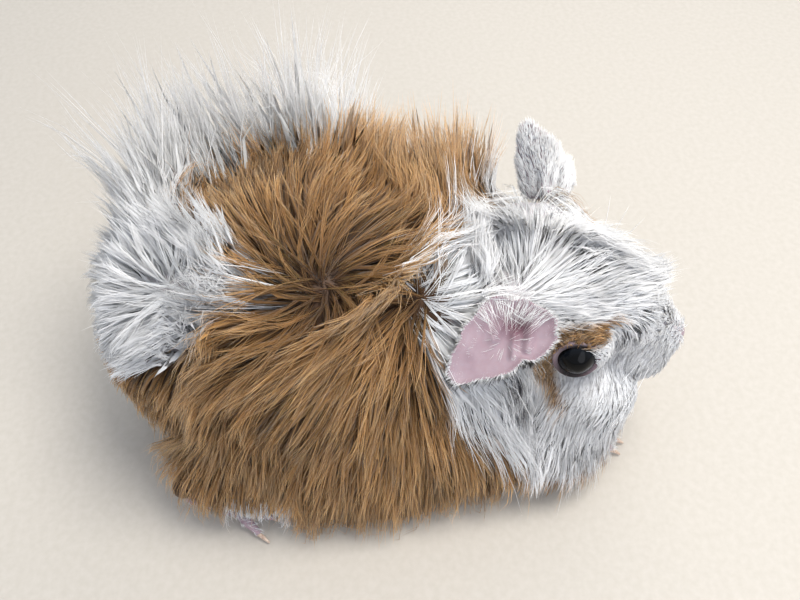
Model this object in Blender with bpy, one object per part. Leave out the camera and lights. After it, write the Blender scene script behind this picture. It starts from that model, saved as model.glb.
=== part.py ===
"""A young rough-coated (Abyssinian) guinea pig, crouched at rest, its head turned to its right.

Life size, in metres, +Z up. The animal faces -Y, its left side is +X, and it rests on z = 0.
The outer form of the coat is melted together from named masses, crests and locks, and then
parted with thin cuts into the pieces that a person would name. The eyes, nose, feet and claws
are solids of their own.
"""

import math

import bmesh
import bpy
from mathutils import Euler, Matrix, Vector

MM = 0.001
GAP = 0.3  # clear air between two pieces, mm
MEND = 0.1  # points of a cut edge nearer than this are one, mm
HAIR, TRIES = 0.017, 12  # step aside (mm) and number of tries for a cut that fails
MELT = 2.0  # grain of the melted coat, mm
COAT_FACETS = 2900  # triangles of the whole coat before it is parted

# ---------------------------------------------------------------- the coat of the body
# name: centre, half sizes (mm; x left, y back, z up)
BODY_MASSES = {
    "rump": ((1, 49, 40), (39, 35, 39)),
    "loin": ((0, 22, 42), (46, 42, 41)),
    "flanks": ((0, 13, 24), (49, 57, 25)),
    "hem": ((0, 10, 7), (52, 50, 12)),
    "haunch_left": ((28, 45, 18), (15, 22, 19)),
    "haunch_right": ((-28, 45, 18), (15, 22, 19)),
    "shoulders": ((0, 0, 42), (40, 30, 38)),
    "breast": ((-4, -15, 20), (43, 33, 25)),
    "throat": ((-6, -26, 36), (28, 24, 27)),
    "bib": ((-18, -39, 18), (28, 23, 18)),
}

LOCK_WIDTH = 6.5  # half the width of a standing lock at its widest, mm

# Crests are where the hair of two rosettes meets and stands up. Each runs over three points
# (mm), leans along a direction, and has a height and a number of locks.
CRESTS = {
    "rump_ridge": (((-26, 36, 60), (-4, 40, 80), (14, 62, 74)), (0.05, 0.25, 0.9), 15, 9),
    "tail_crest": (((16, 50, 74), (24, 58, 72), (32, 60, 64)), (0.35, 0.45, 0.8), 24, 5),
    "left_crest": (((30, 8, 70), (33, 34, 70), (26, 62, 62)), (0.5, 0.15, 0.95), 35, 9),
    "spine_crest": (((22, -4, 74), (24, 6, 76), (26, 16, 76)), (0.4, -0.25, 0.9), 17, 5),
    "collar_crest": (((-16, 6, 74), (8, -12, 78), (34, -29, 60)), (0.25, -0.2, 0.95), 11, 10),
}

# ---------------------------------------------------------------- the head
# The head's own frame: x to its left, y back, z up (mm). It turns to the animal's right,
# the nose drops and the right ear is the lower one.
HEAD_CENTRE = Vector((-9.5, -37.5, 47.5))
NOSE_DOWN, RIGHT_EAR_DOWN, TURN_RIGHT = 5, 4, 20
HEAD_TURN = Euler(
    (math.radians(NOSE_DOWN), math.radians(-RIGHT_EAR_DOWN), math.radians(-TURN_RIGHT)), "YXZ"
).to_matrix()
HEAD_MASSES = {
    "cranium": ((1, 3, 6), (21, 24, 22)),
    "forehead": ((2, -8, 11), (15, 16, 14)),
    "cheek_left": ((10, 2, -8), (16, 19, 18)),
    "cheek_right": ((-10, 2, -8), (16, 19, 18)),
    "jowl_left": ((14, 4, -17), (15, 20, 16)),
    "jowl_right": ((-14, 4, -17), (15, 20, 16)),
    "nose_bridge": ((0, -15, 5), (12, 17, 11)),
    "muzzle": ((0, -20, -3), (13, 15, 13)),
    "jaw": ((0, -11, -17), (13, 15, 12)),
}

EYE_PLACE, EYE_RADIUS = (16.5, -8, 5), 5.6
NOSE_PLACE, NOSE_SIZE = (0, -34.2, 0), (3.6, 1.8, 3.2)

# ---------------------------------------------------------------- ears, in the head's frame
# The rim of an ear laid flat, about the ear canal: (forward, out), mm.
EAR_RIM = (
    (11.5, 0), (8.5, -4.5), (0.5, -6), (-8, -4.5), (-12.5, 3), (-14.5, 12), (-12.5, 17),
    (-3, 14), (4.5, 9.5), (9.5, 5.5),
)
EAR_THICK = 1.2
# side: canal, forward axis, outward axis. The right ear hangs, the left one stands.
EARS = {
    "right": ((-19.5, 8, 14.5), (0, -1, 0), (-0.84, 0, -0.54)),
    "left": ((19.5, 4.5, 20), (0.15, -0.98, 0.1), (0.33, 0.05, 0.94)),
}

# ---------------------------------------------------------------- legs, feet and claws
LEG_REGIONS = {  # the coat over each leg: centre and half sizes
    "front_leg": ((37, -12, 20), (14, 17, 23)),
    "hind_leg": ((35, 45, 20), (19, 25, 24)),
}
# name: heel, toe end, width, height, number of toes, claw length
FEET = {
    "front_foot_left": ((5, -42, 4), (4, -57, 2.6), 8.5, 6, 4, 3.2),
    "front_foot_right": ((-21, -42, 4), (-23, -57, 2.6), 8.5, 6, 4, 3.2),
    "hind_foot_left": ((29, 60, 4.5), (39, 38, 2.8), 8.5, 7.5, 3, 4.4),
    "hind_foot_right": ((-29, 60, 4.5), (-39, 38, 2.8), 8.5, 7.5, 3, 4.4),
}


def at_head(point):
    """A point of the head's own frame, in the model's frame (mm)."""
    return HEAD_CENTRE + HEAD_TURN @ Vector(point)


def mirrored(point, side):
    """A point on the animal's left (side 1), or the same point on its right (side -1)."""
    return Vector((point[0] * side, point[1], point[2]))


# ---------------------------------------------------------------- making solids
def add_ball(mesh, centre, half_sizes, turn=None, fineness=3):
    shape = Matrix.Translation(centre) @ (turn or Matrix.Identity(3)).to_4x4()
    shape = shape @ Matrix.Diagonal((*half_sizes, 1))
    bmesh.ops.create_icosphere(mesh, subdivisions=fineness, radius=1, matrix=shape)


def add_lock(mesh, root, tip, width, along):
    """One flat tapering lock of hair, a closed spindle from root to tip, wide along the crest."""
    axis = (tip - root).normalized()
    across = axis.cross(along).normalized()
    wide = across.cross(axis)
    rings = ((-0.25, 0.7), (0.2, 1.0), (0.55, 0.75), (0.85, 0.4))
    loops = []
    for share, size in rings:
        centre = root.lerp(tip, share)
        corners = []
        for step in range(8):
            angle = step * math.tau / 8
            offset = wide * math.cos(angle) * width + across * math.sin(angle) * width * 0.7
            corners.append(mesh.verts.new(centre + offset * size))
        loops.append(corners)
    for lower, upper in zip(loops, loops[1:]):
        for step in range(8):
            after = (step + 1) % 8
            mesh.faces.new((lower[step], lower[after], upper[after], upper[step]))
    mesh.faces.new(reversed(loops[0]))
    point = mesh.verts.new(tip)
    for step in range(8):
        mesh.faces.new((loops[-1][step], loops[-1][(step + 1) % 8], point))


def along_arc(points, share):
    """The place and direction at a share of the way along a bend through three points."""
    start, middle, end = (Vector(p) for p in points)
    pull = middle * 2 - (start + end) / 2
    place = start * (1 - share) ** 2 + pull * 2 * share * (1 - share) + end * share**2
    heading = (pull - start) * (1 - share) + (end - pull) * share
    return place, heading.normalized()


def add_crest(mesh, points, lean, height, count):
    for step in range(count):
        share = (step + 0.5) / count
        root, heading = along_arc(points, share)
        fan = heading * (share - 0.5) * 0.7
        wave = 1 + 0.14 * math.sin(2.4 * step)
        tip = root + (Vector(lean) + fan).normalized() * height * wave
        add_lock(mesh, root - Vector(lean) * 6, tip, LOCK_WIDTH, heading)


def link(name, mesh):
    """A new object in the scene, from a bmesh in millimetres."""
    bmesh.ops.recalc_face_normals(mesh, faces=mesh.faces[:])
    data = bpy.data.meshes.new(name)
    mesh.to_mesh(data)
    mesh.free()
    obj = bpy.data.objects.new(name, data)
    bpy.context.scene.collection.objects.link(obj)
    return obj


def settle(obj):
    """Takes the modifiers of an object into its mesh."""
    graph = bpy.context.evaluated_depsgraph_get()
    data = bpy.data.meshes.new_from_object(obj.evaluated_get(graph), depsgraph=graph)
    obj.modifiers.clear()
    obj.data = data


def melt(obj, grain, facets, softness=6):
    """Melts overlapping closed forms into one skin with about the given number of facets."""
    remesh = obj.modifiers.new("melt", "REMESH")
    remesh.mode = "VOXEL"
    remesh.voxel_size = grain
    soften = obj.modifiers.new("soften", "SMOOTH")
    soften.factor = 0.5
    soften.iterations = softness
    settle(obj)
    count = sum(len(p.vertices) - 2 for p in obj.data.polygons)
    thin = obj.modifiers.new("thin", "DECIMATE")
    thin.ratio = min(1, facets / count)
    settle(obj)


def volume(obj):
    """The volume inside an object's mesh (mm3), or nothing where the mesh isn't closed."""
    mesh = bmesh.new()
    mesh.from_mesh(obj.data)
    amount = mesh.calc_volume() if all(edge.is_manifold for edge in mesh.edges) else 0
    mesh.free()
    return amount


def carve(obj, tool, operation="DIFFERENCE"):
    """One cut. Where points fall on each other and it fails, the tool moves aside by a hair."""
    uncut, before, cutter = obj.data, volume(obj), volume(tool)
    least = before - cutter if operation == "DIFFERENCE" else 0.005 * min(before, cutter)
    for _ in range(TRIES):
        cut = obj.modifiers.new("cut", "BOOLEAN")
        cut.operation = operation
        cut.object = tool
        settle(obj)
        if max(least, 0.01) < volume(obj) < before * 1.001:
            return
        obj.data = uncut
        tool.data.transform(Matrix.Translation((0, HAIR, HAIR)))
    raise RuntimeError(f"{tool.name} can't be cut from {obj.name}")


def remove(*objects):
    for obj in objects:
        bpy.data.objects.remove(obj)


def copy_of(obj, name):
    twin = obj.copy()
    twin.data = obj.data.copy()
    twin.name = name
    bpy.context.scene.collection.objects.link(twin)
    return twin


def grown(obj, by=GAP):
    """A copy with every point moved out by a little, for cutting room with clear air."""
    twin = copy_of(obj, obj.name + "_room")
    normals = [vertex.normal.copy() for vertex in twin.data.vertices]
    for vertex, normal in zip(twin.data.vertices, normals):
        vertex.co += normal * by
    return twin


def make_room(obj, *solids):
    """Cuts each solid's place, with clear air, out of an object."""
    for solid in solids:
        room = grown(solid)
        carve(obj, room)
        remove(room)


def make_hull_room(obj, solids):
    """Cuts the room of a group of solids, as one wrapped form with clear air, out of an object."""
    mesh = bmesh.new()
    for solid in solids:
        for vertex in solid.data.vertices:
            mesh.verts.new(vertex.co)
    bmesh.ops.convex_hull(mesh, input=mesh.verts[:])
    inside = [vertex for vertex in mesh.verts if not vertex.link_faces]
    bmesh.ops.delete(mesh, geom=inside, context="VERTS")
    hull = link("hull", mesh)
    make_room(obj, hull)
    remove(hull)


def keep_largest(obj):
    """Drops crumbs that a cut has left, and keeps the one solid body."""
    mesh = bmesh.new()
    mesh.from_mesh(obj.data)
    unseen, bodies = set(mesh.faces), []
    while unseen:
        front, body = [unseen.pop()], []
        while front:
            face = front.pop()
            body.append(face)
            for edge in face.edges:
                for other in edge.link_faces:
                    if other in unseen:
                        unseen.discard(other)
                        front.append(other)
        bodies.append(body)
    bodies.sort(key=lambda body: sum(face.calc_area() for face in body))
    for crumb in bodies[:-1]:
        bmesh.ops.delete(mesh, geom=crumb, context="FACES")
    loose = [vertex for vertex in mesh.verts if not vertex.link_faces]
    bmesh.ops.delete(mesh, geom=loose, context="VERTS")
    mesh.to_mesh(obj.data)
    mesh.free()


def mend_edges(obj):
    """Joins points that a cut left almost on each other, where the solid stays closed."""
    rough, before = obj.data.copy(), volume(obj)
    mesh = bmesh.new()
    mesh.from_mesh(obj.data)
    bmesh.ops.remove_doubles(mesh, verts=mesh.verts[:], dist=MEND)
    bmesh.ops.dissolve_degenerate(mesh, edges=mesh.edges[:], dist=MEND)
    mesh.to_mesh(obj.data)
    mesh.free()
    if abs(volume(obj) - before) > 0.01 * before:
        obj.data = rough


def half_space(place, facing, side):
    """A great block that fills one side of a plane, half a gap away from it."""
    facing = Vector(facing).normalized() * side
    turn = facing.to_track_quat("Z", "Y").to_matrix()
    size = 400
    mesh = bmesh.new()
    bmesh.ops.create_cube(mesh, size=size)
    centre = Vector(place) + facing * (size / 2 + GAP / 2)
    bmesh.ops.transform(mesh, matrix=Matrix.Translation(centre) @ turn.to_4x4(), verts=mesh.verts)
    return link("block", mesh)


def part_at(obj, name_below, name_above, place, facing):
    """Parts an object at a plane into two, and returns them."""
    halves = []
    for name, side in ((name_below, -1), (name_above, 1)):
        half = copy_of(obj, name)
        block = half_space(place, facing, side)
        carve(half, block, "INTERSECT")
        remove(block)
        halves.append(half)
    remove(obj)
    return halves


def stand_flat(obj):
    """Cuts an object level where it rests on the floor."""
    block = half_space((0, 0, -GAP / 2), (0, 0, 1), 1)
    carve(obj, block, "INTERSECT")
    remove(block)


# ---------------------------------------------------------------- the coat as one form
def make_coat():
    mesh = bmesh.new()
    for centre, size in BODY_MASSES.values():
        add_ball(mesh, Vector(centre), size)
    for centre, size in HEAD_MASSES.values():
        add_ball(mesh, at_head(centre), size, HEAD_TURN)
    for points, lean, height, count in CRESTS.values():
        add_crest(mesh, points, lean, height, count)
    coat = link("coat", mesh)
    melt(coat, MELT, COAT_FACETS)
    keep_largest(coat)
    return coat


# ---------------------------------------------------------------- eyes, nose and ears
def make_eye(name, side):
    mesh = bmesh.new()
    add_ball(mesh, at_head(mirrored(EYE_PLACE, side)), (EYE_RADIUS,) * 3)
    return link(name, mesh)


def make_nose():
    mesh = bmesh.new()
    add_ball(mesh, at_head(NOSE_PLACE), NOSE_SIZE, HEAD_TURN, fineness=2)
    return link("nose", mesh)


def rim_point(turn):
    """A point of the ear's rim, on a smooth closed curve through the named rim points."""
    count = len(EAR_RIM)
    step = turn * count
    first = math.floor(step)
    t = step - first
    a, b, c, d = (Vector(EAR_RIM[(first + k) % count]) for k in (-1, 0, 1, 2))
    bend = (c - a) * t + (a * 2 - b * 5 + c * 4 - d) * t**2 + (b * 3 - a - c * 3 + d) * t**3
    return b + bend / 2


def make_ear(name, canal, forward, outward):
    """A cupped leaf: rings about its middle, one face towards the canal and one behind."""
    forward = Vector(forward).normalized()
    outward = (Vector(outward) - forward * forward.dot(outward)).normalized()
    inner = outward.cross(forward)
    if inner.z < -0.4 or (canal[0] > 0) != (inner.x > 0):
        inner = -inner
    middle = Vector((-1.5, 4.5))
    rings, steps = (0.35, 0.7, 1.0), 26
    mesh = bmesh.new()

    def place(flat, share, face):
        cup = 2.4 * share**2 - 0.018 * max(0, flat.y - 6) ** 2
        thick = EAR_THICK / 2 * (1 if share < 1 else 0.55)
        lift = inner * (cup + face * thick)
        local = Vector(canal) + forward * flat.x + outward * flat.y + lift
        return mesh.verts.new(at_head(local))

    faces = []
    for face in (1, -1):
        hub = place(middle, 0, face)
        loops = []
        for share in rings:
            loop = [place(middle.lerp(rim_point(k / steps), share), share, face)
                    for k in range(steps)]
            loops.append(loop)
        for k in range(steps):
            after = (k + 1) % steps
            mesh.faces.new((hub, loops[0][k], loops[0][after]))
            for small, large in zip(loops, loops[1:]):
                mesh.faces.new((small[k], large[k], large[after], small[after]))
        faces.append(loops[-1])
    for k in range(steps):
        after = (k + 1) % steps
        mesh.faces.new((faces[0][k], faces[1][k], faces[1][after], faces[0][after]))
    return link(name, mesh)


# ---------------------------------------------------------------- feet and claws
def make_claw(name, root, heading, length):
    """A hooked, tapering claw that bends down to the floor."""
    side = heading.cross(Vector((0, 0, 1))).normalized()
    mesh = bmesh.new()
    loops = []
    for share, radius in ((0, 0.85), (0.5, 0.7), (1, 0.32)):
        centre = root + heading * length * share - Vector((0, 0, 1.1)) * share**2
        up = Vector((0, 0, 1))
        corners = [k * math.tau / 6 for k in range(6)]
        loops.append([
            mesh.verts.new(centre + side * math.cos(a) * radius * 0.8 + up * math.sin(a) * radius)
            for a in corners
        ])
    for lower, upper in zip(loops, loops[1:]):
        for k in range(6):
            mesh.faces.new((lower[k], lower[(k + 1) % 6], upper[(k + 1) % 6], upper[k]))
    mesh.faces.new(loops[0])
    mesh.faces.new(loops[-1])
    claw = link(name, mesh)
    stand_flat(claw)
    return claw


def make_foot(name, heel, end, width, height, toes, claw_length):
    """A narrow sole with a fan of toes, flat underneath, and a claw on each toe."""
    heel, end = Vector(heel), Vector(end)
    heading = (end - heel).normalized()
    level = Vector((heading.x, heading.y, 0)).normalized()
    side = Vector((level.y, -level.x, 0))
    turn = Matrix((side, -level, Vector((0, 0, 1)))).transposed()
    length = (end - heel).length
    toe_length = min(8.5, length * 0.5)
    mesh = bmesh.new()
    sole = heel.lerp(end, 0.36)
    add_ball(mesh, sole, (width * 0.46, length * 0.42, height * 0.62), turn)
    add_ball(mesh, heel.lerp(end, 0.62), (width * 0.5, length * 0.22, height * 0.46), turn)
    claws = []
    for k in range(toes):
        spread = (k - (toes - 1) / 2) / ((toes - 1) / 2)
        reach = 1 - 0.16 * abs(spread) ** 2
        angle = spread * 0.28
        point = (level * math.cos(angle) + side * math.sin(angle)).normalized()
        root = heel.lerp(end, 0.6) + side * spread * width * 0.36
        tip = root + point * toe_length * reach
        tip.z = 2.0
        middle = root.lerp(tip, 0.5)
        toe_turn = Matrix((point.cross(Vector((0, 0, 1))), -point, Vector((0, 0, 1)))).transposed()
        add_ball(mesh, middle, (1.7, toe_length * 0.62, 2.0), toe_turn)
        claws.append(make_claw(f"{name}_claw_{k + 1}", tip + point * 0.4, point, claw_length))
    foot = link(name, mesh)
    melt(foot, 0.8, 180, softness=2)
    stand_flat(foot)
    make_room(foot, *claws)
    keep_largest(foot)
    mend_edges(foot)
    return [foot] + claws


# ---------------------------------------------------------------- the whole animal
for old in list(bpy.data.objects):
    bpy.data.objects.remove(old)

eyes = [make_eye("eye_left", 1), make_eye("eye_right", -1)]
nose = make_nose()
ears = [make_ear(f"ear_{side}", *shape) for side, shape in EARS.items()]
feet = [make_foot(foot_name, *shape) for foot_name, shape in FEET.items()]

coat = make_coat()
make_room(coat, *eyes, nose, *ears)
for foot_and_claws in feet:
    make_hull_room(coat, foot_and_claws)
parts = []
for leg_name, (centre, size) in LEG_REGIONS.items():
    for side_name, side in (("left", 1), ("right", -1)):
        mesh = bmesh.new()
        add_ball(mesh, mirrored(centre, side), size, fineness=2)
        region = link("region", mesh)
        leg = copy_of(coat, f"{leg_name}_{side_name}")
        carve(leg, region, "INTERSECT")
        make_room(coat, region)
        remove(region)
        parts.append(leg)

body, rump = part_at(coat, "body", "rump", (0, 37, 40), (-0.12, 1, 0.1))
front, trunk = part_at(body, "front", "trunk", (-4, -13, 40), (-0.1, 1, -0.1))
face, neck = part_at(front, "face", "neck", at_head((0, 15, 0)), HEAD_TURN @ Vector((0, 1, 0.1)))
chest, head = part_at(face, "chest", "head", at_head((0, 0, -24)), HEAD_TURN @ Vector((0, -0.1, 1)))
parts += [rump, trunk, neck, chest, head]
for piece in parts:
    stand_flat(piece)
    keep_largest(piece)
    mend_edges(piece)

# ---------------------------------------------------------------- finishes
GINGER = ("ginger_coat", (0.23, 0.10, 0.035), 0.85)
WHITE = ("white_coat", (0.70, 0.72, 0.74), 0.85)
PINK = ("pink_skin", (0.55, 0.30, 0.31), 0.6)
HORN = ("pale_horn", (0.60, 0.48, 0.38), 0.45)
DARK = ("dark_eye", (0.006, 0.006, 0.008), 0.05)
FINISHES = {
    "trunk": GINGER, "neck": GINGER, "chest": GINGER, "rump": WHITE, "head": WHITE,
    "front_leg": GINGER, "hind_leg": GINGER, "ear": PINK, "nose": PINK, "eye": DARK,
    "front_foot": WHITE, "hind_foot": WHITE,
}


def finish_of(name):
    if "_claw_" in name:
        return HORN
    return next(finish for start, finish in FINISHES.items() if name.startswith(start))


def paint(obj):
    finish, colour, roughness = finish_of(obj.name)
    material = bpy.data.materials.new(f"{finish}_{obj.name}")
    material.use_nodes = True
    shader = material.node_tree.nodes["Principled BSDF"]
    shader.inputs["Base Color"].default_value = (*colour, 1)
    shader.inputs["Roughness"].default_value = roughness
    shader.inputs["Metallic"].default_value = 0
    obj.data.materials.clear()
    obj.data.materials.append(material)
    for polygon in obj.data.polygons:
        polygon.use_smooth = True


# ---------------------------------------------------------------- into metres, on the origin
corners = [vertex.co for obj in bpy.data.objects for vertex in obj.data.vertices]
middle = [(min(co[k] for co in corners) + max(co[k] for co in corners)) / 2 for k in (0, 1)]
to_metres = Matrix.Scale(MM, 4) @ Matrix.Translation((-middle[0], -middle[1], 0))
for obj in bpy.data.objects:
    obj.data.transform(to_metres)
    paint(obj)
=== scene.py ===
"""A young rough-coated guinea pig as a still model: skin, eyes, claws, whiskers, a coat in rosettes.

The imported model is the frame: every place comes from its nodes. Lengths are in millimetres times MM.
"""

import math

import bmesh
import bpy
import numpy as np
from mathutils import Matrix, Vector
from mathutils.bvhtree import BVHTree
from mathutils.kdtree import KDTree


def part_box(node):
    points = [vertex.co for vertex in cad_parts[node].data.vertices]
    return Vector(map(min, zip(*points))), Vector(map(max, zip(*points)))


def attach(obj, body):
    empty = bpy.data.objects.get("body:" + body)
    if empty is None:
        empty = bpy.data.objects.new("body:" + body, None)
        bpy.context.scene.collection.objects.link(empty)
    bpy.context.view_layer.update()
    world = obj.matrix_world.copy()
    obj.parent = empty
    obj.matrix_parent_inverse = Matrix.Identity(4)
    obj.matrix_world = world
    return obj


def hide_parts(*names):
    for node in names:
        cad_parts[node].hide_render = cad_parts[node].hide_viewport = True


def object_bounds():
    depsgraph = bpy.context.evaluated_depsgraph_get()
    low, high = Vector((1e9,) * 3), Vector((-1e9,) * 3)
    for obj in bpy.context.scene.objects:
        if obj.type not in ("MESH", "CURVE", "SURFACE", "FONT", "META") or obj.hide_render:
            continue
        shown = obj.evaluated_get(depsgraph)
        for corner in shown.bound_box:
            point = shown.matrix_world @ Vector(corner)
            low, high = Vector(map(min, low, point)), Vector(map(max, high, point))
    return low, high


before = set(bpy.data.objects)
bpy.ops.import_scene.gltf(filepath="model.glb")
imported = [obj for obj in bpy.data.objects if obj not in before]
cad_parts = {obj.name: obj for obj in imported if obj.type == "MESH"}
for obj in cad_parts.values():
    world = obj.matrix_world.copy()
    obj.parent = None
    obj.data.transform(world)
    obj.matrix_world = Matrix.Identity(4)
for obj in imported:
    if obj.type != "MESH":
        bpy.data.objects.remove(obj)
cad_box = [list(corner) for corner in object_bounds()]
MM = 0.001

# ---- The head's place ----
# The head is turned to the animal's right and tipped down. Its three axes come from the two
# eyes and the nose, so all of the face is placed from them: left, back and up.
EYE_SPAN, EYE_FORWARD, EYE_UP, NOSE_FORWARD = 16.5, 8.0, 5.0, 34.2


def middle_of(node):
    low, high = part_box(node)
    return (Vector(low) + Vector(high)) / 2


def head_frame():
    eye_right, eye_left = middle_of("eye_right"), middle_of("eye_left")
    between = (eye_right + eye_left) / 2
    left = (eye_left - eye_right).normalized()
    ahead = middle_of("nose") - between
    ahead = (ahead - left * left.dot(ahead)).normalized()
    across = left.cross(ahead)
    reach, drop = Vector((NOSE_FORWARD - EYE_FORWARD, EYE_UP)).normalized()
    back = across * drop - ahead * reach
    up = -ahead * drop - across * reach
    turn = Matrix((left, back, up)).transposed()
    centre = between - turn @ Vector((0, -EYE_FORWARD, EYE_UP)) * MM
    return Matrix.Translation(centre) @ turn.to_4x4()


HEAD = head_frame()
HEAD_BACK = HEAD.inverted()
BODY = Matrix.Translation((0, (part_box("rump")[1][1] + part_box("nose")[0][1]) / 2, 0))

# ---- Skin: the flesh under the coat ----
# One closed skin over rump, loin, belly, shoulders, throat and head, pink-white and soft.
# Rounded masses are joined, melted to one surface and smoothed; eyes, nose and mouth are set in.
BODY_FLESH = (  # place and half sizes, x left, y back, z up
    ((3, 41, 38), (29, 30, 27)),
    ((0, 16, 40), (37, 36, 36)),
    ((0, 6, 26), (40, 48, 24)),
    ((0, -14, 37), (32, 31, 32)),
    ((-5, -28, 34), (24, 22, 22)),
    ((-5, -30, 18), (28, 22, 15)),
    ((-16, -42, 17), (17, 15, 11)),
    ((-27, 33, 18), (13, 18, 16)),
    ((27, 34, 20), (13, 20, 18)),
)
HEAD_FLESH = (
    ((0, 4, 2), (17, 20, 16)),
    ((-8, 3, -6), (12, 16, 13)),
    ((8, 3, -6), (12, 16, 13)),
    ((0, -9, 7), (12, 14, 11)),
    ((0, -14, 3), (9, 17, 9)),
    ((0, -20, -3), (10.5, 13.5, 10.5)),
    ((-4.6, -25.5, -5), (5.4, 7, 6)),
    ((4.6, -25.5, -5), (5.4, 7, 6)),
    ((0, -31.5, 0), (4.4, 3.2, 4.2)),
    ((0, -15, -12), (8, 13, 7)),
    ((-13, -14, -12), (9, 12, 9)),
    ((13, -14, -12), (9, 12, 9)),
    ((-14.4, -8, 5), (6.2, 8, 7.4)),
    ((14.4, -8, 5), (6.2, 8, 7.4)),
    ((-11, 8.5, 10.5), (6.5, 7, 6)),
    ((11.5, 6, 13.5), (6.5, 7, 7)),
)
SKIN_GRAIN = 1.2


def add_mass(place, half, home):
    """A rounded mass of flesh, half sizes in millimetres, set in the body's or the head's axes."""
    bpy.ops.mesh.primitive_uv_sphere_add(segments=40, ring_count=24, radius=1)
    mass = bpy.context.object
    size = Matrix.Diagonal((*(Vector(half) * MM), 1))
    mass.data.transform(home @ Matrix.Translation(Vector(place) * MM) @ size)
    return mass


def add_object(name, data):
    added = bpy.data.objects.new(name, data)
    bpy.context.collection.objects.link(added)
    return added


def join(name, pieces):
    bpy.ops.object.select_all(action="DESELECT")
    for piece in pieces:
        piece.select_set(True)
    bpy.context.view_layer.objects.active = pieces[0]
    bpy.ops.object.join()
    pieces[0].name = name
    return pieces[0]


def shape(piece, kind, **settings):
    """One of Blender's modifiers, put on the piece and applied."""
    bpy.context.view_layer.objects.active = piece
    modifier = piece.modifiers.new(kind.title(), kind)
    for key, value in settings.items():
        setattr(modifier, key, value)
    bpy.ops.object.modifier_apply(modifier=modifier.name)


def points_of(piece):
    flat = np.empty(len(piece.data.vertices) * 3, np.float32)
    piece.data.vertices.foreach_get("co", flat)
    return flat.reshape(-1, 3).astype(float)


def move_points(piece, points):
    piece.data.vertices.foreach_set("co", points.astype(np.float32).ravel())
    piece.data.update()


def in_head(points):
    """Places in the head's own axes, in millimetres."""
    turn = np.array(HEAD_BACK)
    return (points @ turn[:3, :3].T + turn[:3, 3]) / MM


def from_head(points):
    turn = np.array(HEAD)
    return (np.asarray(points, float) * MM) @ turn[:3, :3].T + turn[:3, 3]


def ease(value, start, end):
    """0 before start, 1 after end, and a smooth rise between them."""
    share = np.clip((value - start) / (end - start), 0, 1)
    return share * share * (3 - 2 * share)


def refine(piece, centre, reach, cuts):
    """Finer faces on the skin round a feature of the face."""
    bpy.ops.object.select_all(action="DESELECT")
    piece.select_set(True)
    bpy.context.view_layer.objects.active = piece
    bpy.ops.object.mode_set(mode="EDIT")
    bpy.ops.mesh.select_mode(type="FACE")
    bpy.ops.mesh.select_all(action="DESELECT")
    bpy.ops.object.mode_set(mode="OBJECT")
    for polygon in piece.data.polygons:
        polygon.select = (polygon.center - centre).length < reach * MM
    bpy.ops.object.mode_set(mode="EDIT")
    bpy.ops.mesh.subdivide(number_cuts=cuts)
    bpy.ops.object.mode_set(mode="OBJECT")


masses = [add_mass(place, half, BODY) for place, half in BODY_FLESH]
masses += [add_mass(place, half, HEAD) for place, half in HEAD_FLESH]
skin = join("skin", masses)
shape(skin, "REMESH", mode="VOXEL", voxel_size=SKIN_GRAIN * MM)
shape(skin, "SMOOTH", factor=0.5, iterations=8)

# ---- Room for the coat ----
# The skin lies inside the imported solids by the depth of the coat: a millimetre on the muzzle and
# seven on crown and cheeks. Where there is more room than that on the head, the skin comes out.
FLESH_NODES = ("head", "neck", "chest", "trunk", "rump", "nose")
FLESH_NODES += tuple(f"{leg}_leg_{side}" for leg in ("front", "hind") for side in ("left", "right"))
DEPTH_LOW, DEPTH_HIGH, DEPTH_REACH, LIE_SMOOTH = 1.2, 15.0, 24.0, 14
NOSE_TIP = (0, -34, -2)  # in the head's axes
FACE_REACH, FACE_DEPTHS, FLANK_DEPTH = (0, 8, 18, 30, 45), (0.9, 2.0, 4.2, 6.2, 7.5), 7.5
# Each pair is where an effect starts and where it is full: on the face by how far forward and up,
# on the flank by how low and how far forward, and on the thin coat at the rump's end.
FACE_FRONT, FACE_UP, FACE_FILL = (-26, -10), (-30, -20), 0.85
FLANK_LOW, FLANK_FRONT = (-50, -28), (-46, -34)
RUMP_THIN, RUMP_BACK, RUMP_LOW = 0.6, (46, 60), (-62, -48)


def cad_tree():
    verts, faces = [], []
    for name in FLESH_NODES:
        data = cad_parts[name].data
        start = len(verts)
        verts += [vertex.co / MM for vertex in data.vertices]
        faces += [[start + index for index in polygon.vertices] for polygon in data.polygons]
    return BVHTree.FromPolygons(verts, faces)


def normals_of(piece):
    flat = np.empty(len(piece.data.vertices) * 3, np.float32)
    piece.data.vertex_normals.foreach_get("vector", flat)
    return flat.reshape(-1, 3).astype(float)


def spread_out(values, edges, rounds):
    """Evens a value over the skin by averaging it with its neighbours."""
    count = np.bincount(edges.ravel(), minlength=len(values)).astype(float)
    for _ in range(rounds):
        total = np.zeros_like(values)
        for a, b in ((0, 1), (1, 0)):
            total += np.bincount(edges[:, a], values[edges[:, b]], len(values))
        values = 0.5 * values + 0.5 * total / count
    return values


def depth_to_solids(points, normals, edges):
    """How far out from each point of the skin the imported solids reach."""
    tree, depths = cad_tree(), []
    for point, normal in zip(points, normals):
        start, way, far = Vector(point), Vector(normal), 0.0
        while far < DEPTH_REACH:
            hit = tree.ray_cast(start + way * (far + 0.05), way, DEPTH_REACH - far)
            if hit[0] is None:
                break
            far += 0.05 + hit[3]
        depths.append(far)
    return spread_out(np.clip(depths, DEPTH_LOW, DEPTH_HIGH), edges, 16)


def make_lie():
    """A smoother copy of the skin, over which the coat is combed."""
    copy = add_object("lie", skin.data.copy())
    shape(copy, "SMOOTH", factor=0.5, iterations=LIE_SMOOTH)
    return copy


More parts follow.
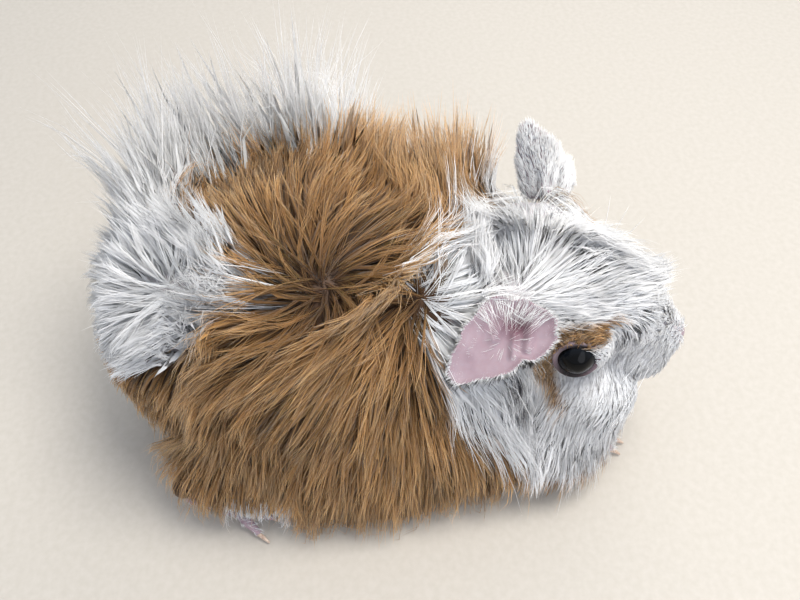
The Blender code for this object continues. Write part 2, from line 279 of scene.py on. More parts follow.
lie = make_lie()
lie_edges = np.array([edge.vertices[:] for edge in lie.data.edges])
lie_points, lie_normals = points_of(lie) / MM, normals_of(lie)
room = depth_to_solids(lie_points, lie_normals, lie_edges)
local = in_head(lie_points * MM)
wanted = np.interp(np.linalg.norm(local - NOSE_TIP, axis=1), FACE_REACH, FACE_DEPTHS)
on_face = ease(-local[:, 1], *FACE_FRONT) * ease(local[:, 2], *FACE_UP)
on_flank = ease(-lie_points[:, 2], *FLANK_LOW) * ease(-lie_points[:, 1], *FLANK_FRONT) * (1 - on_face)
fill = np.clip(room - wanted, 0, 12) * on_face * FACE_FILL
fill = fill + np.clip(room - FLANK_DEPTH, 0, 6) * on_flank
fill = spread_out(fill, lie_edges, 10)
move_points(skin, points_of(skin) + lie_normals * fill[:, None] * MM)
shape(skin, "SMOOTH", factor=0.5, iterations=4)
bpy.data.objects.remove(lie)
lie = make_lie()
lie_points, lie_normals = points_of(lie) / MM, normals_of(lie)
lie_depth = depth_to_solids(lie_points, lie_normals, lie_edges)
lie_depth *= 1 - RUMP_THIN * ease(lie_points[:, 1], *RUMP_BACK) * ease(-lie_points[:, 2], *RUMP_LOW)

# ---- Eyelids, nose and mouth ----
# Thin dark grey lids lie close round each globe. The nose has two slits over a short cleft,
# and the lips meet in a line under the whisker pads. All are pressed into the one skin.
EYE_RADIUS, SOCKET_DEEP, LID_RISE = 5.6, 0.9, 0.55
LID_OPEN, LID_CORNER = 51, 7  # degrees from the eye's axis to the lid, and how much more at its corners
LID_REACH, LID_FADE = 6, (8, 34)  # how far the socket shapes the skin, in millimetres and degrees
EYE_AXES = {"right": Vector((-0.95, -0.18, 0.26)), "left": Vector((0.95, -0.18, 0.26))}
EYE_AT = {side: middle_of("eye_" + side) for side in EYE_AXES}

for side in EYE_AXES:
    refine(skin, EYE_AT[side], 10.5, 2)
refine(skin, HEAD @ (Vector((0, -31, -3)) * MM), 11, 2)
refine(skin, HEAD @ (Vector((0, -32, -1)) * MM), 7, 1)


def set_lids(points, side):
    """Presses the skin into a socket behind the globe and raises a lid round its opening."""
    axis = np.array((HEAD.to_3x3() @ EYE_AXES[side]).normalized())
    across = np.array((HEAD.to_3x3() @ Vector((0, -1, -0.12))).normalized())
    across -= axis * across.dot(axis)
    across /= np.linalg.norm(across)
    offset = (points - np.array(EYE_AT[side])) / MM
    far = np.linalg.norm(offset, axis=1)
    along = offset @ axis / np.maximum(far, 1e-6)
    side_way = offset @ across
    angle = np.degrees(np.arccos(np.clip(along, -1, 1)))
    flat = np.abs(side_way) / np.maximum(np.sqrt(np.maximum(far**2 - (far * along) ** 2, 1e-6)), 1e-6)
    beyond = angle - (LID_OPEN + LID_CORNER * flat**2)
    near = (far < EYE_RADIUS + LID_REACH) & (angle < 100)
    rim = EYE_RADIUS + LID_RISE * (1 - ease(beyond, 8, 30)) + 0.1
    socket = EYE_RADIUS - SOCKET_DEEP
    wanted = np.where(beyond < 0, socket, socket + (rim - socket) * ease(beyond, 0, 5))
    hold = np.where(beyond < LID_FADE[0], 1.0, 1 - ease(beyond, *LID_FADE))
    hold *= 1 - ease(far, EYE_RADIUS + LID_REACH / 2, EYE_RADIUS + LID_REACH)
    hold = np.where((beyond > LID_FADE[0]) & (far > wanted), hold * 0.4, hold)
    scale = np.where(near, (wanted * hold + far * (1 - hold)) / np.maximum(far, 1e-6), 1.0)
    return np.array(EYE_AT[side]) + offset * scale[:, None] * MM


def press(points, place, half, depth, inward):
    """A dent of one depth about a place in the head's axes."""
    local = in_head(points)
    share = np.linalg.norm((local - np.array(place)) / np.array(half), axis=1)
    push = depth * np.exp(-(share**2))
    return from_head(local + push[:, None] * np.array(inward))


face = points_of(skin)
for side in EYE_AXES:
    face = set_lids(face, side)
for hand in (-1, 1):
    for step in range(4):  # the nostril's slit rises outwards
        slit = (hand * (1.3 + 0.55 * step), -34.2 + 0.35 * step, -0.2 + 0.5 * step)
        face = press(face, slit, (0.6, 1.6, 0.5), 0.75, (0, 1, -0.1))
    face = press(face, (hand * 3.4, -30.5, -8.4), (3.2, 2.6, 0.7), 1.1, (0, 0.9, 0.2))  # the lips
for step in range(5):  # the cleft runs down to the mouth
    face = press(face, (0, -34.4 + 0.5 * step, -2.6 - 1.1 * step), (0.5, 1.6, 0.9), 0.8, (0, 1, 0.1))
move_points(skin, face)

# ---- Ears ----
# Each ear is a thin bare pink petal: a cupped leaf with a notch in its front edge, a pit for the
# canal and two folds beside it. It grows from a low mound on the head and is one with the skin.
EAR_RIM = (  # forward and outward from the canal
    (11.5, 0),
    (8.5, -4.5),
    (0.5, -6),
    (-8, -4.5),
    (-12.5, 3),
    (-14.5, 12),
    (-12.5, 17),
    (-3, 14),
    (4.5, 9.5),
    (9.5, 5.5),
)
EARS = {  # canal, forward and outward in the head's axes
    "right": ((-19.5, 8, 14.5), (0, -1, 0), (-0.84, 0, -0.54)),
    "left": ((19.5, 8.0, 19.5), (0.15, -0.98, 0.1), (0.33, 0.05, 0.94)),
}
EAR_NARROW = {"right": 0.88, "left": 0.64}  # the left ear is half folded and looks slimmer
EAR_HUB, EAR_THICK, EAR_RINGS, EAR_STEPS = (-1.5, 4.5), 0.9, 18, 96
EAR_FOLDS = (  # start and end on the ear, half width and height of each soft ridge
    ((4.2, -3), (4.6, 5), 1.3, 1.4),
    ((-2.6, -3), (-4.4, 4.5), 1.4, 1.2),
    ((0.5, 2.2), (1.5, 7.5), 1.0, 1.1),
    ((-8, 0), (-9.5, 9), 1.6, 0.6),
)


def ear_axes(side):
    canal, forward, outward = (Vector(v) for v in EARS[side])
    outward = outward.normalized()
    forward = (forward - outward * outward.dot(forward)).normalized()
    inner = outward.cross(forward)
    if inner.z < -0.4 or (canal.x > 0) != (inner.x > 0):
        inner = -inner
    return np.array(canal), np.array(forward) * EAR_NARROW[side], np.array(outward), np.array(inner)


def ear_rim(turn):
    """The rim's place at a share of the way round, on a smooth closed curve."""
    rim = np.array(EAR_RIM, float)
    step = (np.asarray(turn) % 1) * len(rim)
    first = np.floor(step).astype(int)
    t = (step - first)[:, None]
    a, b, c, d = (rim[(first + k) % len(rim)] for k in (-1, 0, 1, 2))
    point = b + ((c - a) * t + (2 * a - 5 * b + 4 * c - d) * t**2 + (3 * b - a - 3 * c + d) * t**3) / 2
    angle = 2 * np.pi * np.asarray(turn)
    ripple = 0.28 * np.sin(9 * angle + 0.6) + 0.2 * np.sin(14 * angle)
    notch = 1.7 * np.exp(-(((np.asarray(turn) - 0.83) / 0.022) ** 2))
    inwards = np.array(EAR_HUB) - point
    inwards /= np.linalg.norm(inwards, axis=1)[:, None]
    return point + inwards * (notch + 0.5 + ripple)[:, None]


def from_line(places, start, end):
    """Share of the way along a line that is nearest to each place, and the distance to it."""
    start, end = np.array(start, float), np.array(end, float)
    run = end - start
    share = np.clip(((places - start) @ run) / run.dot(run), 0, 1)
    return share, np.linalg.norm(places - start - share[:, None] * run, axis=1)


def ear_height(flat, share):
    cup = 2.4 * share**2 - 0.018 * np.maximum(0, flat[:, 1] - 6) ** 2
    pit = -2.0 * np.exp(-(np.linalg.norm((flat - (0.5, -0.5)) / (2.6, 2.2), axis=1) ** 2))
    ridges = [
        height * np.exp(-((from_line(flat, start, end)[1] / width) ** 2))
        for start, end, width, height in EAR_FOLDS
    ]
    folds = (ridges[0] + ridges[1]) + (ridges[2] + ridges[3])
    curl = 0.7 * ease(share, 0.86, 1.0)
    return cup + pit + curl + folds * (1 - ease(share, 0.55, 0.85))


def make_ear(side):
    canal, forward, outward, inner = ear_axes(side)
    turns = np.arange(EAR_STEPS) / EAR_STEPS
    rim, hub = ear_rim(turns), np.array(EAR_HUB)
    rows, verts, faces = [], [], []
    for face_side in (1, -1):
        for ring in range(EAR_RINGS + 1):
            share = ring / EAR_RINGS
            flat = hub + (rim - hub) * share if ring else hub[None, :]
            thick = EAR_THICK / 2 * math.sqrt(max(0.06, 1 - share**8))
            height = ear_height(flat, np.full(len(flat), share)) + face_side * thick
            local = canal + flat[:, :1] * forward + flat[:, 1:] * outward + height[:, None] * inner
            rows.append(len(verts))
            verts += [tuple(point) for point in from_head(local)]
    for half_start in (0, EAR_RINGS + 1):
        starts = rows[half_start : half_start + EAR_RINGS + 1]
        for k in range(EAR_STEPS):
            after = (k + 1) % EAR_STEPS
            faces.append((starts[0], starts[1] + k, starts[1] + after))
            for low, high in zip(starts[1:], starts[2:]):
                faces.append((low + k, high + k, high + after, low + after))
    last_in, last_out = rows[EAR_RINGS], rows[2 * EAR_RINGS + 1]
    for k in range(EAR_STEPS):
        after = (k + 1) % EAR_STEPS
        faces.append((last_in + k, last_out + k, last_out + after, last_in + after))
    data = bpy.data.meshes.new("ear_" + side)
    data.from_pydata(verts, [], faces)
    mesh = bmesh.new()
    mesh.from_mesh(data)
    bmesh.ops.recalc_face_normals(mesh, faces=mesh.faces)
    mesh.to_mesh(data)
    mesh.free()
    return add_object("ear_" + side, data)


# ---- Feet ----
# Small bare feet: four toes in front and three behind, each ending in a claw. The pad, toes and
# wrist are melted together finely, flattened on the floor and grown into the skin.
FEET = ("front_foot_left", "front_foot_right", "hind_foot_left", "hind_foot_right")
TOE_THICK, TOE_END, PAW_GRAIN = 1.5, 1.05, 0.5


def claws_of(foot):
    return [middle_of(node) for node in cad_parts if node.startswith(foot + "_claw")]


def make_paw(foot):
    palm, claws = middle_of(foot), claws_of(foot)
    ahead = sum(claws, Vector()) / len(claws) - palm
    reach = ahead.length
    ahead.normalize()
    heel = palm - ahead * reach * 0.75
    lift = Vector((0, 0, 1.2 * MM))
    balls = [(palm + lift * 0.6, 3.1), (heel + lift, 3.0), (palm.lerp(heel, 0.5) + lift, 3.0)]
    balls += [(palm + ahead * reach * 0.3, 2.7), (heel - ahead * 2.5 * MM + lift * 3, 3.2)]
    for claw in claws:
        way = claw - palm
        for step in range(7):
            share = 0.25 + 0.62 * step / 6
            knuckle = 0.25 * math.exp(-(((share - 0.55) / 0.12) ** 2))
            place = palm + way * share + lift * 0.4 * math.sin(math.pi * share)
            balls.append((place, TOE_THICK + (TOE_END - TOE_THICK) * share + knuckle))
    home = Matrix.Identity(4)
    pieces = [add_mass(place / MM, (size, size, size * 0.86), home) for place, size in balls]
    paw = join(foot + "_paw", pieces)
    shape(paw, "REMESH", mode="VOXEL", voxel_size=PAW_GRAIN * MM)
    shape(paw, "SMOOTH", factor=0.5, iterations=3)
    points = points_of(paw)
    points[:, 2] = np.maximum(points[:, 2], 0.05 * MM)
    move_points(paw, points)
    return paw


def grow_on(piece):
    """Joins a part to the skin as one closed surface."""
    shape(skin, "BOOLEAN", operation="UNION", solver="EXACT", object=piece)
    bpy.data.objects.remove(piece)


for side in EARS:
    grow_on(make_ear(side))
for foot in FEET:
    grow_on(make_paw(foot))

# ---- Lie of the coat ----
# The hair grows out of whorls. Where two whorls' hair meets it stands up as a ridge; low on the
# flanks it falls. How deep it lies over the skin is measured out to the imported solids.
WHORLS = (  # name, home, place, comb direction or None for a whorl, reach, white, length
    ("rump", BODY, (-12, 51, 75), None, 0.85, 1, 23),
    ("haunch", BODY, (-40, 42, 36), (0, 0.1, -1), 0.5, 0, 22),
    ("saddle", BODY, (-23, 12.5, 77), None, 1.0, 0, 30),
    ("shoulder", BODY, (-24, -9, 71), None, 1.0, 0, 28),
    ("withers", BODY, (10, -10, 79), (0.8, 0.1, 0.3), 0.6, 0, 20),
    ("chest", BODY, (-20, -44, 14), (-0.2, -0.2, -1), 0.6, 0, 20),
    ("saddle_left", BODY, (42, 14, 58), (0.15, 0.2, -1), 0.7, 1, 24),
    ("rump_left", BODY, (27, 56, 48), None, 0.6, 1, 26),
    ("shoulder_left", BODY, (34, -12, 66), (0.2, 0.35, -1), 0.8, 0, 26),
    ("ear_right", HEAD, (-15, 13, 17), None, 1.0, 1, 16),
    ("ear_left", HEAD, (15, 11, 20), None, 0.9, 1, 16),
    ("cheek_right", HEAD, (-24, -14, -10), (-0.1, 0.12, -1), 0.8, 1, 16),
    ("cheek_left", HEAD, (24, -14, -10), (0.1, 0.12, -1), 0.8, 1, 16),
    ("nose", HEAD, (0, -35, 3), None, 0.55, 1, 4),
    ("eye_right", HEAD, (-19, -8.5, 6), None, 0.3, 1, 4),
    ("eye_left", HEAD, (19, -8.5, 6), None, 0.3, 1, 4),
)
CRESTS = (  # base line, lean, height and reach of the ridges where hair stands up, and its marking
    (((-31, 50, 54), (-22, 38, 72), (-9, 36, 84), (3, 41, 86), (17, 54, 84)), (-0.1, -0.12, 0.9), 21, 8, 1),
    (((16, 46, 74), (24, 54, 72), (32, 54, 64)), (0.3, 0.45, 0.85), 31, 10, 1),
    (((22, 54, 80), (35, 46, 78), (37, 38, 78)), (0.3, 0.6, 0.9), 46, 13, 1),
    (((37, 36, 78), (36, 24, 78), (35, 16, 78)), (0.3, 0.25, 0.95), 46, 13, 1),
    (((35, 14, 78), (31, 6, 78)), (0.3, -0.15, 0.95), 38, 11, 1),
    (((27, 0, 80), (25, -8, 78)), (0.3, -0.4, 0.95), 28, 9, 0),
    (((25, -10, 78), (25, -20, 76), (26, -31, 68)), (0.3, 0.1, 0.95), 21, 9, 0),
)
COLLAR = (((-21, 8, 77), 4), ((-14, -2, 81), 5), ((-3, -13, 84), 6), ((8, -20, 83), 6), ((14, -25, 80), 5))
COLLAR_LEAN, COLLAR_LENGTH = (0.6, 0.35, 0.7), 11
WHITE_BACK = (  # edge of the white on rump and left side: degrees round from the top, and y
    (-150, 130), (-150, 84), (-95, 72), (-75, 63), (-66, 57), (-60, 49), (-46, 41), (-32, 33.5),
    (-14, 32), (2, 37), (12, 45), (22, 48), (36, 44), (41, 30), (39, 20), (33, 9), (30, 3), (36, -4),
    (52, -9), (64, -3), (76, -8), (90, 1), (106, -6), (132, 2), (190, 20), (190, 130),
)
BACK_MIDDLE, BACK_DEGREE = 40, 0.8  # height of the barrel's axis; millimetres to a degree
PARTING = -33  # degrees round from the top where the back's hair parts from the flank's
FACE_EDGE_UP = (-60, -40, -24, -19, -11, 0, 20, 26, 60)  # height in the head's axes ...
FACE_EDGE_BACK = (-18, -10, -3, 4, 16, 20, 24, 32, 32)  # ... and where white ends behind it
HEAD_WHORLS = [k for k, whorl in enumerate(WHORLS) if whorl[1] is HEAD]
RIDGE, SWIRL, WHORL_EYE = 2.2, 16, (1, 7)  # width of a ridge, degrees of swirl, reach of a whorl's middle
FALL, FALL_WEIGHT, FALL_FAR, FALL_STEEP = (0, 0.3, -1), 1.1, (8, 34), (0.75, 0.1)  # hair hangs if steep
EDGE_PULL, EDGE_NEAR, FACE_NEAR = 0.9, 15, 12  # how strongly and how near an edge holds its own hair
NAP, NAP_GROWTH, CHEEK_GROWTH = 3.2, 0.44, 0.16  # nap at the nose, and its growth away from it
LASH_NAP, LASH_GROWTH, BROW_MORE = 2.4, 1.15, 2.0  # the same round the eyes, and more over them
TAIL_SHORT, TAIL_BACK, TAIL_LOW = 0.6, (48, 66), (-95, -75)  # hair is shorter at the tail's end


def unit(vectors):
    return vectors / np.maximum(np.linalg.norm(vectors, axis=-1, keepdims=True), 1e-9)


def flatten(vectors, normals):
    """The part of each direction that lies along the skin."""
    return vectors - normals * np.sum(vectors * normals, axis=-1, keepdims=True)


lie_faces = [tuple(polygon.vertices) for polygon in lie.data.polygons]
lie_tree = BVHTree.FromPolygons([tuple(point) for point in lie_points], lie_faces)


def along_patch(points, chain):
    """Distance outside a patch drawn as a chain of rounds, negative inside it."""
    best = np.full(len(points), 1e3)
    for (start, wide), (end, narrow) in zip(chain, chain[1:]):
        share, off = from_line(points, start, end)
        best = np.minimum(best, off - (wide + (narrow - wide) * share))
    return best


def outside_white(points):
    """Millimetres outside the white of rump and left side, negative within it."""
    turn = np.degrees(np.arctan2(points[:, 0], points[:, 2] - BACK_MIDDLE)) * BACK_DEGREE
    flat = np.stack((turn, points[:, 1]), axis=1)
    corners = np.array(WHITE_BACK, float) * (BACK_DEGREE, 1)
    off, inside = np.full(len(points), 1e3), np.zeros(len(points), bool)
    for start, end in zip(corners, np.roll(corners, -1, axis=0)):
        off = np.minimum(off, from_line(flat, start, end)[1])
        run = end - start
        crosses = (start[1] > flat[:, 1]) != (end[1] > flat[:, 1])
        at = start[0] + (flat[:, 1] - start[1]) * run[0] / (run[1] if run[1] else 1e-9)
        inside ^= crosses & (flat[:, 0] < at)
    return np.where(inside, -off, off)


def behind_face(local):
    """Millimetres behind the back edge of the white face."""
    return local[:, 1] - np.interp(local[:, 2], FACE_EDGE_UP, FACE_EDGE_BACK)


def standing():
    """How far hair stands up at each point of the skin, which way, how long it is, and how cut back."""
    stand, way, long = np.zeros(len(lie_points)), np.zeros((len(lie_points), 3)), np.zeros(len(lie_points))
    short, outside = np.ones(len(lie_points)), outside_white(lie_points)
    for line, lean, height, reach, marking in CRESTS:
        feet = [np.array(lie_tree.find_nearest(Vector(point))[0]) for point in line]
        off = along_patch(lie_points, [(foot, 0.0) for foot in feet])
        own = ease(-outside if marking else outside, -2, 2)
        share = (1 - ease(off, 0.25 * reach, reach)) * own
        stand = np.maximum(stand, share)
        way += share[:, None] * unit(np.array(lean))
        long = np.maximum(long, share * height)
        short = np.minimum(short, 1 - 0.45 * (1 - own) * (1 - ease(off, 0, 1.6 * reach)))
    return stand, unit(way + 1e-6 * lie_normals), long, short


def whorl_ways():
    """Distance from each whorl, the way its hair runs, and how near a whorl's middle each point is."""
    far = np.empty((len(lie_points), len(WHORLS)))
    ways = np.empty((len(lie_points), len(WHORLS), 3))
    middle = np.zeros(len(lie_points))
    for k, (_, home, place, comb, reach, _, _) in enumerate(WHORLS):
        centre = np.array(lie_tree.find_nearest(home @ (Vector(place) * MM) / MM)[0])
        away = lie_points - centre
        far[:, k] = np.linalg.norm(away, axis=1) / reach
        if comb is None:
            way = unit(flatten(away, lie_normals))
            turn = math.radians(SWIRL if k % 2 else -SWIRL)
            way = way * math.cos(turn) + np.cross(lie_normals, way) * math.sin(turn)
            middle = np.maximum(middle, 1 - ease(far[:, k] * reach, *WHORL_EYE))
        else:
            way = unit(flatten(np.array(home.to_3x3() @ Vector(comb)), lie_normals))
        ways[:, k] = way
    return far, ways, middle


def keep_to_markings(far, outside, behind):
    """Each whorl draws hair of its own marking, and the back's two whorls part from the flank's hair."""
    low = np.degrees(np.arctan2(lie_points[:, 0], lie_points[:, 2] - BACK_MIDDLE))
    low = EDGE_PULL * np.clip((PARTING - low) * BACK_DEGREE, -FACE_NEAR, EDGE_NEAR)
    names = [name for name, *_ in WHORLS]
    far[:, names.index("saddle")] += low
    far[:, names.index("shoulder")] -= low
    for k, (_, home, _, _, _, is_white, _) in enumerate(WHORLS):
        if home is BODY:
            own_side = np.clip(outside, -EDGE_NEAR, EDGE_NEAR) * (1 if is_white else -1)
            far[:, k] += EDGE_PULL * (own_side - np.clip(behind, -FACE_NEAR, FACE_NEAR))
        else:
            far[:, k] += EDGE_PULL * np.clip(behind, -FACE_NEAR, FACE_NEAR)


def shares_of(far, reach):
    """Each whorl's share in the hair at each point."""
    share = np.exp(-(far - far.min(axis=1, keepdims=True)) / reach)
    share /= share.sum(axis=1, keepdims=True)
    return share


def ridge_behind_saddle(outside):
    """Where the white hair behind the saddle lies as one wave along its edge, and which way."""
    steps = np.eye(3) * 0.5
    across = [outside_white(lie_points + step) - outside_white(lie_points - step) for step in steps]
    way = np.cross(lie_normals, unit(flatten(np.stack(across, axis=1), lie_normals)))
    from_rump = lie_points - np.array(WHORLS[0][2])
    way *= np.sign(np.sum(way * from_rump, axis=1, keepdims=True))
    there = ease(outside, -12, -3) * ease(-outside, -3, 0) * ease(lie_points[:, 1], 24, 30)
    there *= ease(-lie_points[:, 0], -24, -14)
    return there[:, None], way


def face_lengths(local):
    """Hair on the head: a nap at the nose and round the eyes, longer towards crown and cheeks."""
    from_nose = np.linalg.norm(local - NOSE_TIP, axis=1)
    growth = NAP_GROWTH + CHEEK_GROWTH * ease(-local[:, 2], 0, 10)
    length = np.clip(NAP + growth * (from_nose - 5), 2.8, 20)
    for hand in (-1, 1):
        from_eye = np.linalg.norm(local - (hand * EYE_SPAN, -EYE_FORWARD, EYE_UP), axis=1)
        over_eye = BROW_MORE * ease(local[:, 2], 8, 11.5)
        length = np.minimum(length, LASH_NAP + over_eye + LASH_GROWTH * np.maximum(0, from_eye - 7.2))
    return length


def comb_coat():
    """Flow, lift and length of the hair at each point of the skin, and where and how it stands up."""
    far, ways, whorl = whorl_ways()
    from_whorl = far.min(axis=1)
    local = in_head(lie_points * MM)
    outside = outside_white(lie_points)
    keep_to_markings(far, outside, behind_face(local))
    share = shares_of(far, RIDGE)
    flow = np.einsum("nk,nkd->nd", share, ways)
    lift = 1 - np.linalg.norm(np.einsum("nk,nkd->nd", shares_of(far, 2.5 * RIDGE), ways), axis=1)
    on_ridge, ridge_way = ridge_behind_saddle(outside)
    flow = unit(flow) * (1 - on_ridge) + 1.2 * ridge_way * on_ridge
    fall = unit(flatten(np.array(FALL, float), lie_normals))
    weight = FALL_WEIGHT * ease(from_whorl, *FALL_FAR) * ease(lie_normals[:, 2], *FALL_STEEP)
    flow = unit(flow + fall * weight[:, None]) * (1 - 0.5 * lift[:, None])
    length = share @ np.array([whorl[6] for whorl in WHORLS], float)
    on_head = share[:, HEAD_WHORLS].sum(axis=1)
    length = length * (1 - on_head) + face_lengths(local) * on_head
    stand, stand_way, stand_length, short = standing()
    tail_end = ease(lie_points[:, 1], *TAIL_BACK) * ease(-lie_points[:, 2], *TAIL_LOW)
    length = length * (1 - TAIL_SHORT * tail_end)
    length = np.maximum(length * short, stand_length)
    collar = 1 - ease(along_patch(lie_points, COLLAR), -1, 4)
    length = length * (1 - collar) + COLLAR_LENGTH * collar
    stand_way = unit(stand_way * (1 - collar[:, None]) + np.array(COLLAR_LEAN) * collar[:, None])
    stand = np.maximum(stand, 0.6 * collar)
    return flow, lift, spread_out(length, lie_edges, 6), on_head, stand, stand_way, whorl


lie_flow, lie_lift, lie_length, lie_on_head, lie_stand, lie_stand_way, lie_whorl = comb_coat()

# ---- Markings ----
# Ginger and white in broken patches: white rump, ridge and left flank, white face with a ginger
# brow and a streak under the eye, a few grey spots. Skin and coat ask the same function.
BROW = (  # chains of rounds in the head's axes: place and radius
    ((-24, 3, 7), 3.6),
    ((-21, -1, 10), 3.8),
    ((-18, -6, 11), 3.4),
    ((-14.5, -12, 11), 2.4),
    ((-10, -17, 13), 0.8),
)
STREAK = (((-9, -0.5, 4), 2.6), ((-9.6, -3.4, -3), 2.2), ((-10.5, -9, -13), 0.9))  # scaled by FLATTEN
LEFT_BROW = (((22, 4, 12), 5), ((18, -2, 14), 4.5), ((20, -6, -2), 3.5), ((20, 2, -8), 5))
SPOTS = (((-10.8, 3, -5), 3.0), ((-11.8, 0, -12), 2.8), ((-8, 22, 21), 5.5))
FLATTEN = (0.4, 1, 1)  # so that a patch on the side of the face holds through the coat's depth
FAR_PATCH, HIND_WHITE = ((12, -21, 84), 5.0), 11.0


def markings(points):
    """How ginger (0 white to 1) and how grey each place is. points are in millimetres."""
    local = in_head(points * MM)
    ginger = ease(outside_white(points), -1, 1)
    ginger *= 1 - ease(-behind_face(local), -1.2, 1.2) * ease(local[:, 2], -35, -30)
    side_on = local * FLATTEN
    for place, chain in ((local, BROW), (local, LEFT_BROW), (side_on, STREAK)):
        own = 1 - ease(along_patch(place, chain), -0.6, 1.4)
        ginger = np.maximum(ginger, own * ease(-points[:, 0], 0, 1) if chain is STREAK else own)
    far = np.linalg.norm(points - np.array(FAR_PATCH[0]), axis=1)
    ginger *= ease(far, FAR_PATCH[1] - 1, FAR_PATCH[1] + 1.5)
    hind = ease(points[:, 1], 25, 27) * ease(-points[:, 1], -44, -42)
    hind *= ease(-points[:, 2], -HIND_WHITE - 2, -HIND_WHITE)
    ginger *= 1 - hind
    grey = np.zeros(len(points))
    for place, wide in SPOTS:
        off = np.linalg.norm(side_on - np.array(place), axis=1)
        grey = np.maximum(grey, 1 - ease(off, wide * 0.6, wide * 1.2))
    return ginger, grey


# ---- Growing the hair ----
# Each lock has a guide hair that is stepped out over the skin along the comb, up to the depth of
# the coat. Its hairs follow it and close towards its tip. Every hair is a thin tapered rod.
SEED = 41
FLOOR_LIE, FLOOR_DRAG = 0.6, 0.4  # hair ends rest on the floor and drag along it only a little
RISE_FLAT, RISE_RIDGE, RISE_FLUFF, RISE_WHORL = 20, 35, 28, 25  # degrees that hair leaves the skin at
YAW, YAW_WHORL, TILT = 8, 50, 0.28  # how unevenly hair turns aside, most of all at a whorl
rng = np.random.default_rng(SEED)
lie_quads = np.array([face if len(face) == 4 else (*face, face[2]) for face in lie_faces])


def face_mean(values):
    return values[lie_quads].mean(axis=1)


FACE_NORMAL, FACE_FLOW = unit(face_mean(lie_normals)), face_mean(lie_flow)
FACE_DEPTH, FACE_LIFT, FACE_LENGTH = face_mean(lie_depth), face_mean(lie_lift), face_mean(lie_length)
FACE_ON_HEAD, FACE_MIDDLE = face_mean(lie_on_head), face_mean(lie_points)
FACE_STAND, FACE_STAND_WAY = face_mean(lie_stand), unit(face_mean(lie_stand_way))
FACE_WHORL = face_mean(lie_whorl)
FACE_FAR = ease(in_head(FACE_MIDDLE * MM)[:, 0], -2, 8)  # 1 on the head's left side, where it is fluffier
corner = lie_points[lie_quads]
FACE_AREA = 0.5 * np.linalg.norm(np.cross(corner[:, 2] - corner[:, 0], corner[:, 3] - corner[:, 1]), axis=1)


def near_face(points):
    """Foot on the skin and face index under each place."""
    feet, found = np.empty_like(points), np.empty(len(points), int)
    for k, point in enumerate(points):
        place, _, index, _ = lie_tree.find_nearest(point)
        feet[k], found[k] = place, index
    return feet, found


def scatter(weight, count):
    """Even random roots: faces in order of place, each getting its share by area and weight."""
    cell = np.floor(FACE_MIDDLE / 6).astype(int)
    order = np.lexsort((FACE_MIDDLE[:, 1], cell[:, 0], cell[:, 2], cell[:, 1]))
    total = np.cumsum((FACE_AREA * weight)[order])
    picks = (np.arange(count) + rng.random(count)) / count * total[-1]
    faces = order[np.minimum(np.searchsorted(total, picks), len(order) - 1)]
    a, b = rng.random((2, count, 1))
    quad = lie_points[lie_quads[faces]]
    roots = (quad[:, 0] * (1 - a) + quad[:, 1] * a) * (1 - b) + (quad[:, 3] * (1 - a) + quad[:, 2] * a) * b
    return roots, faces


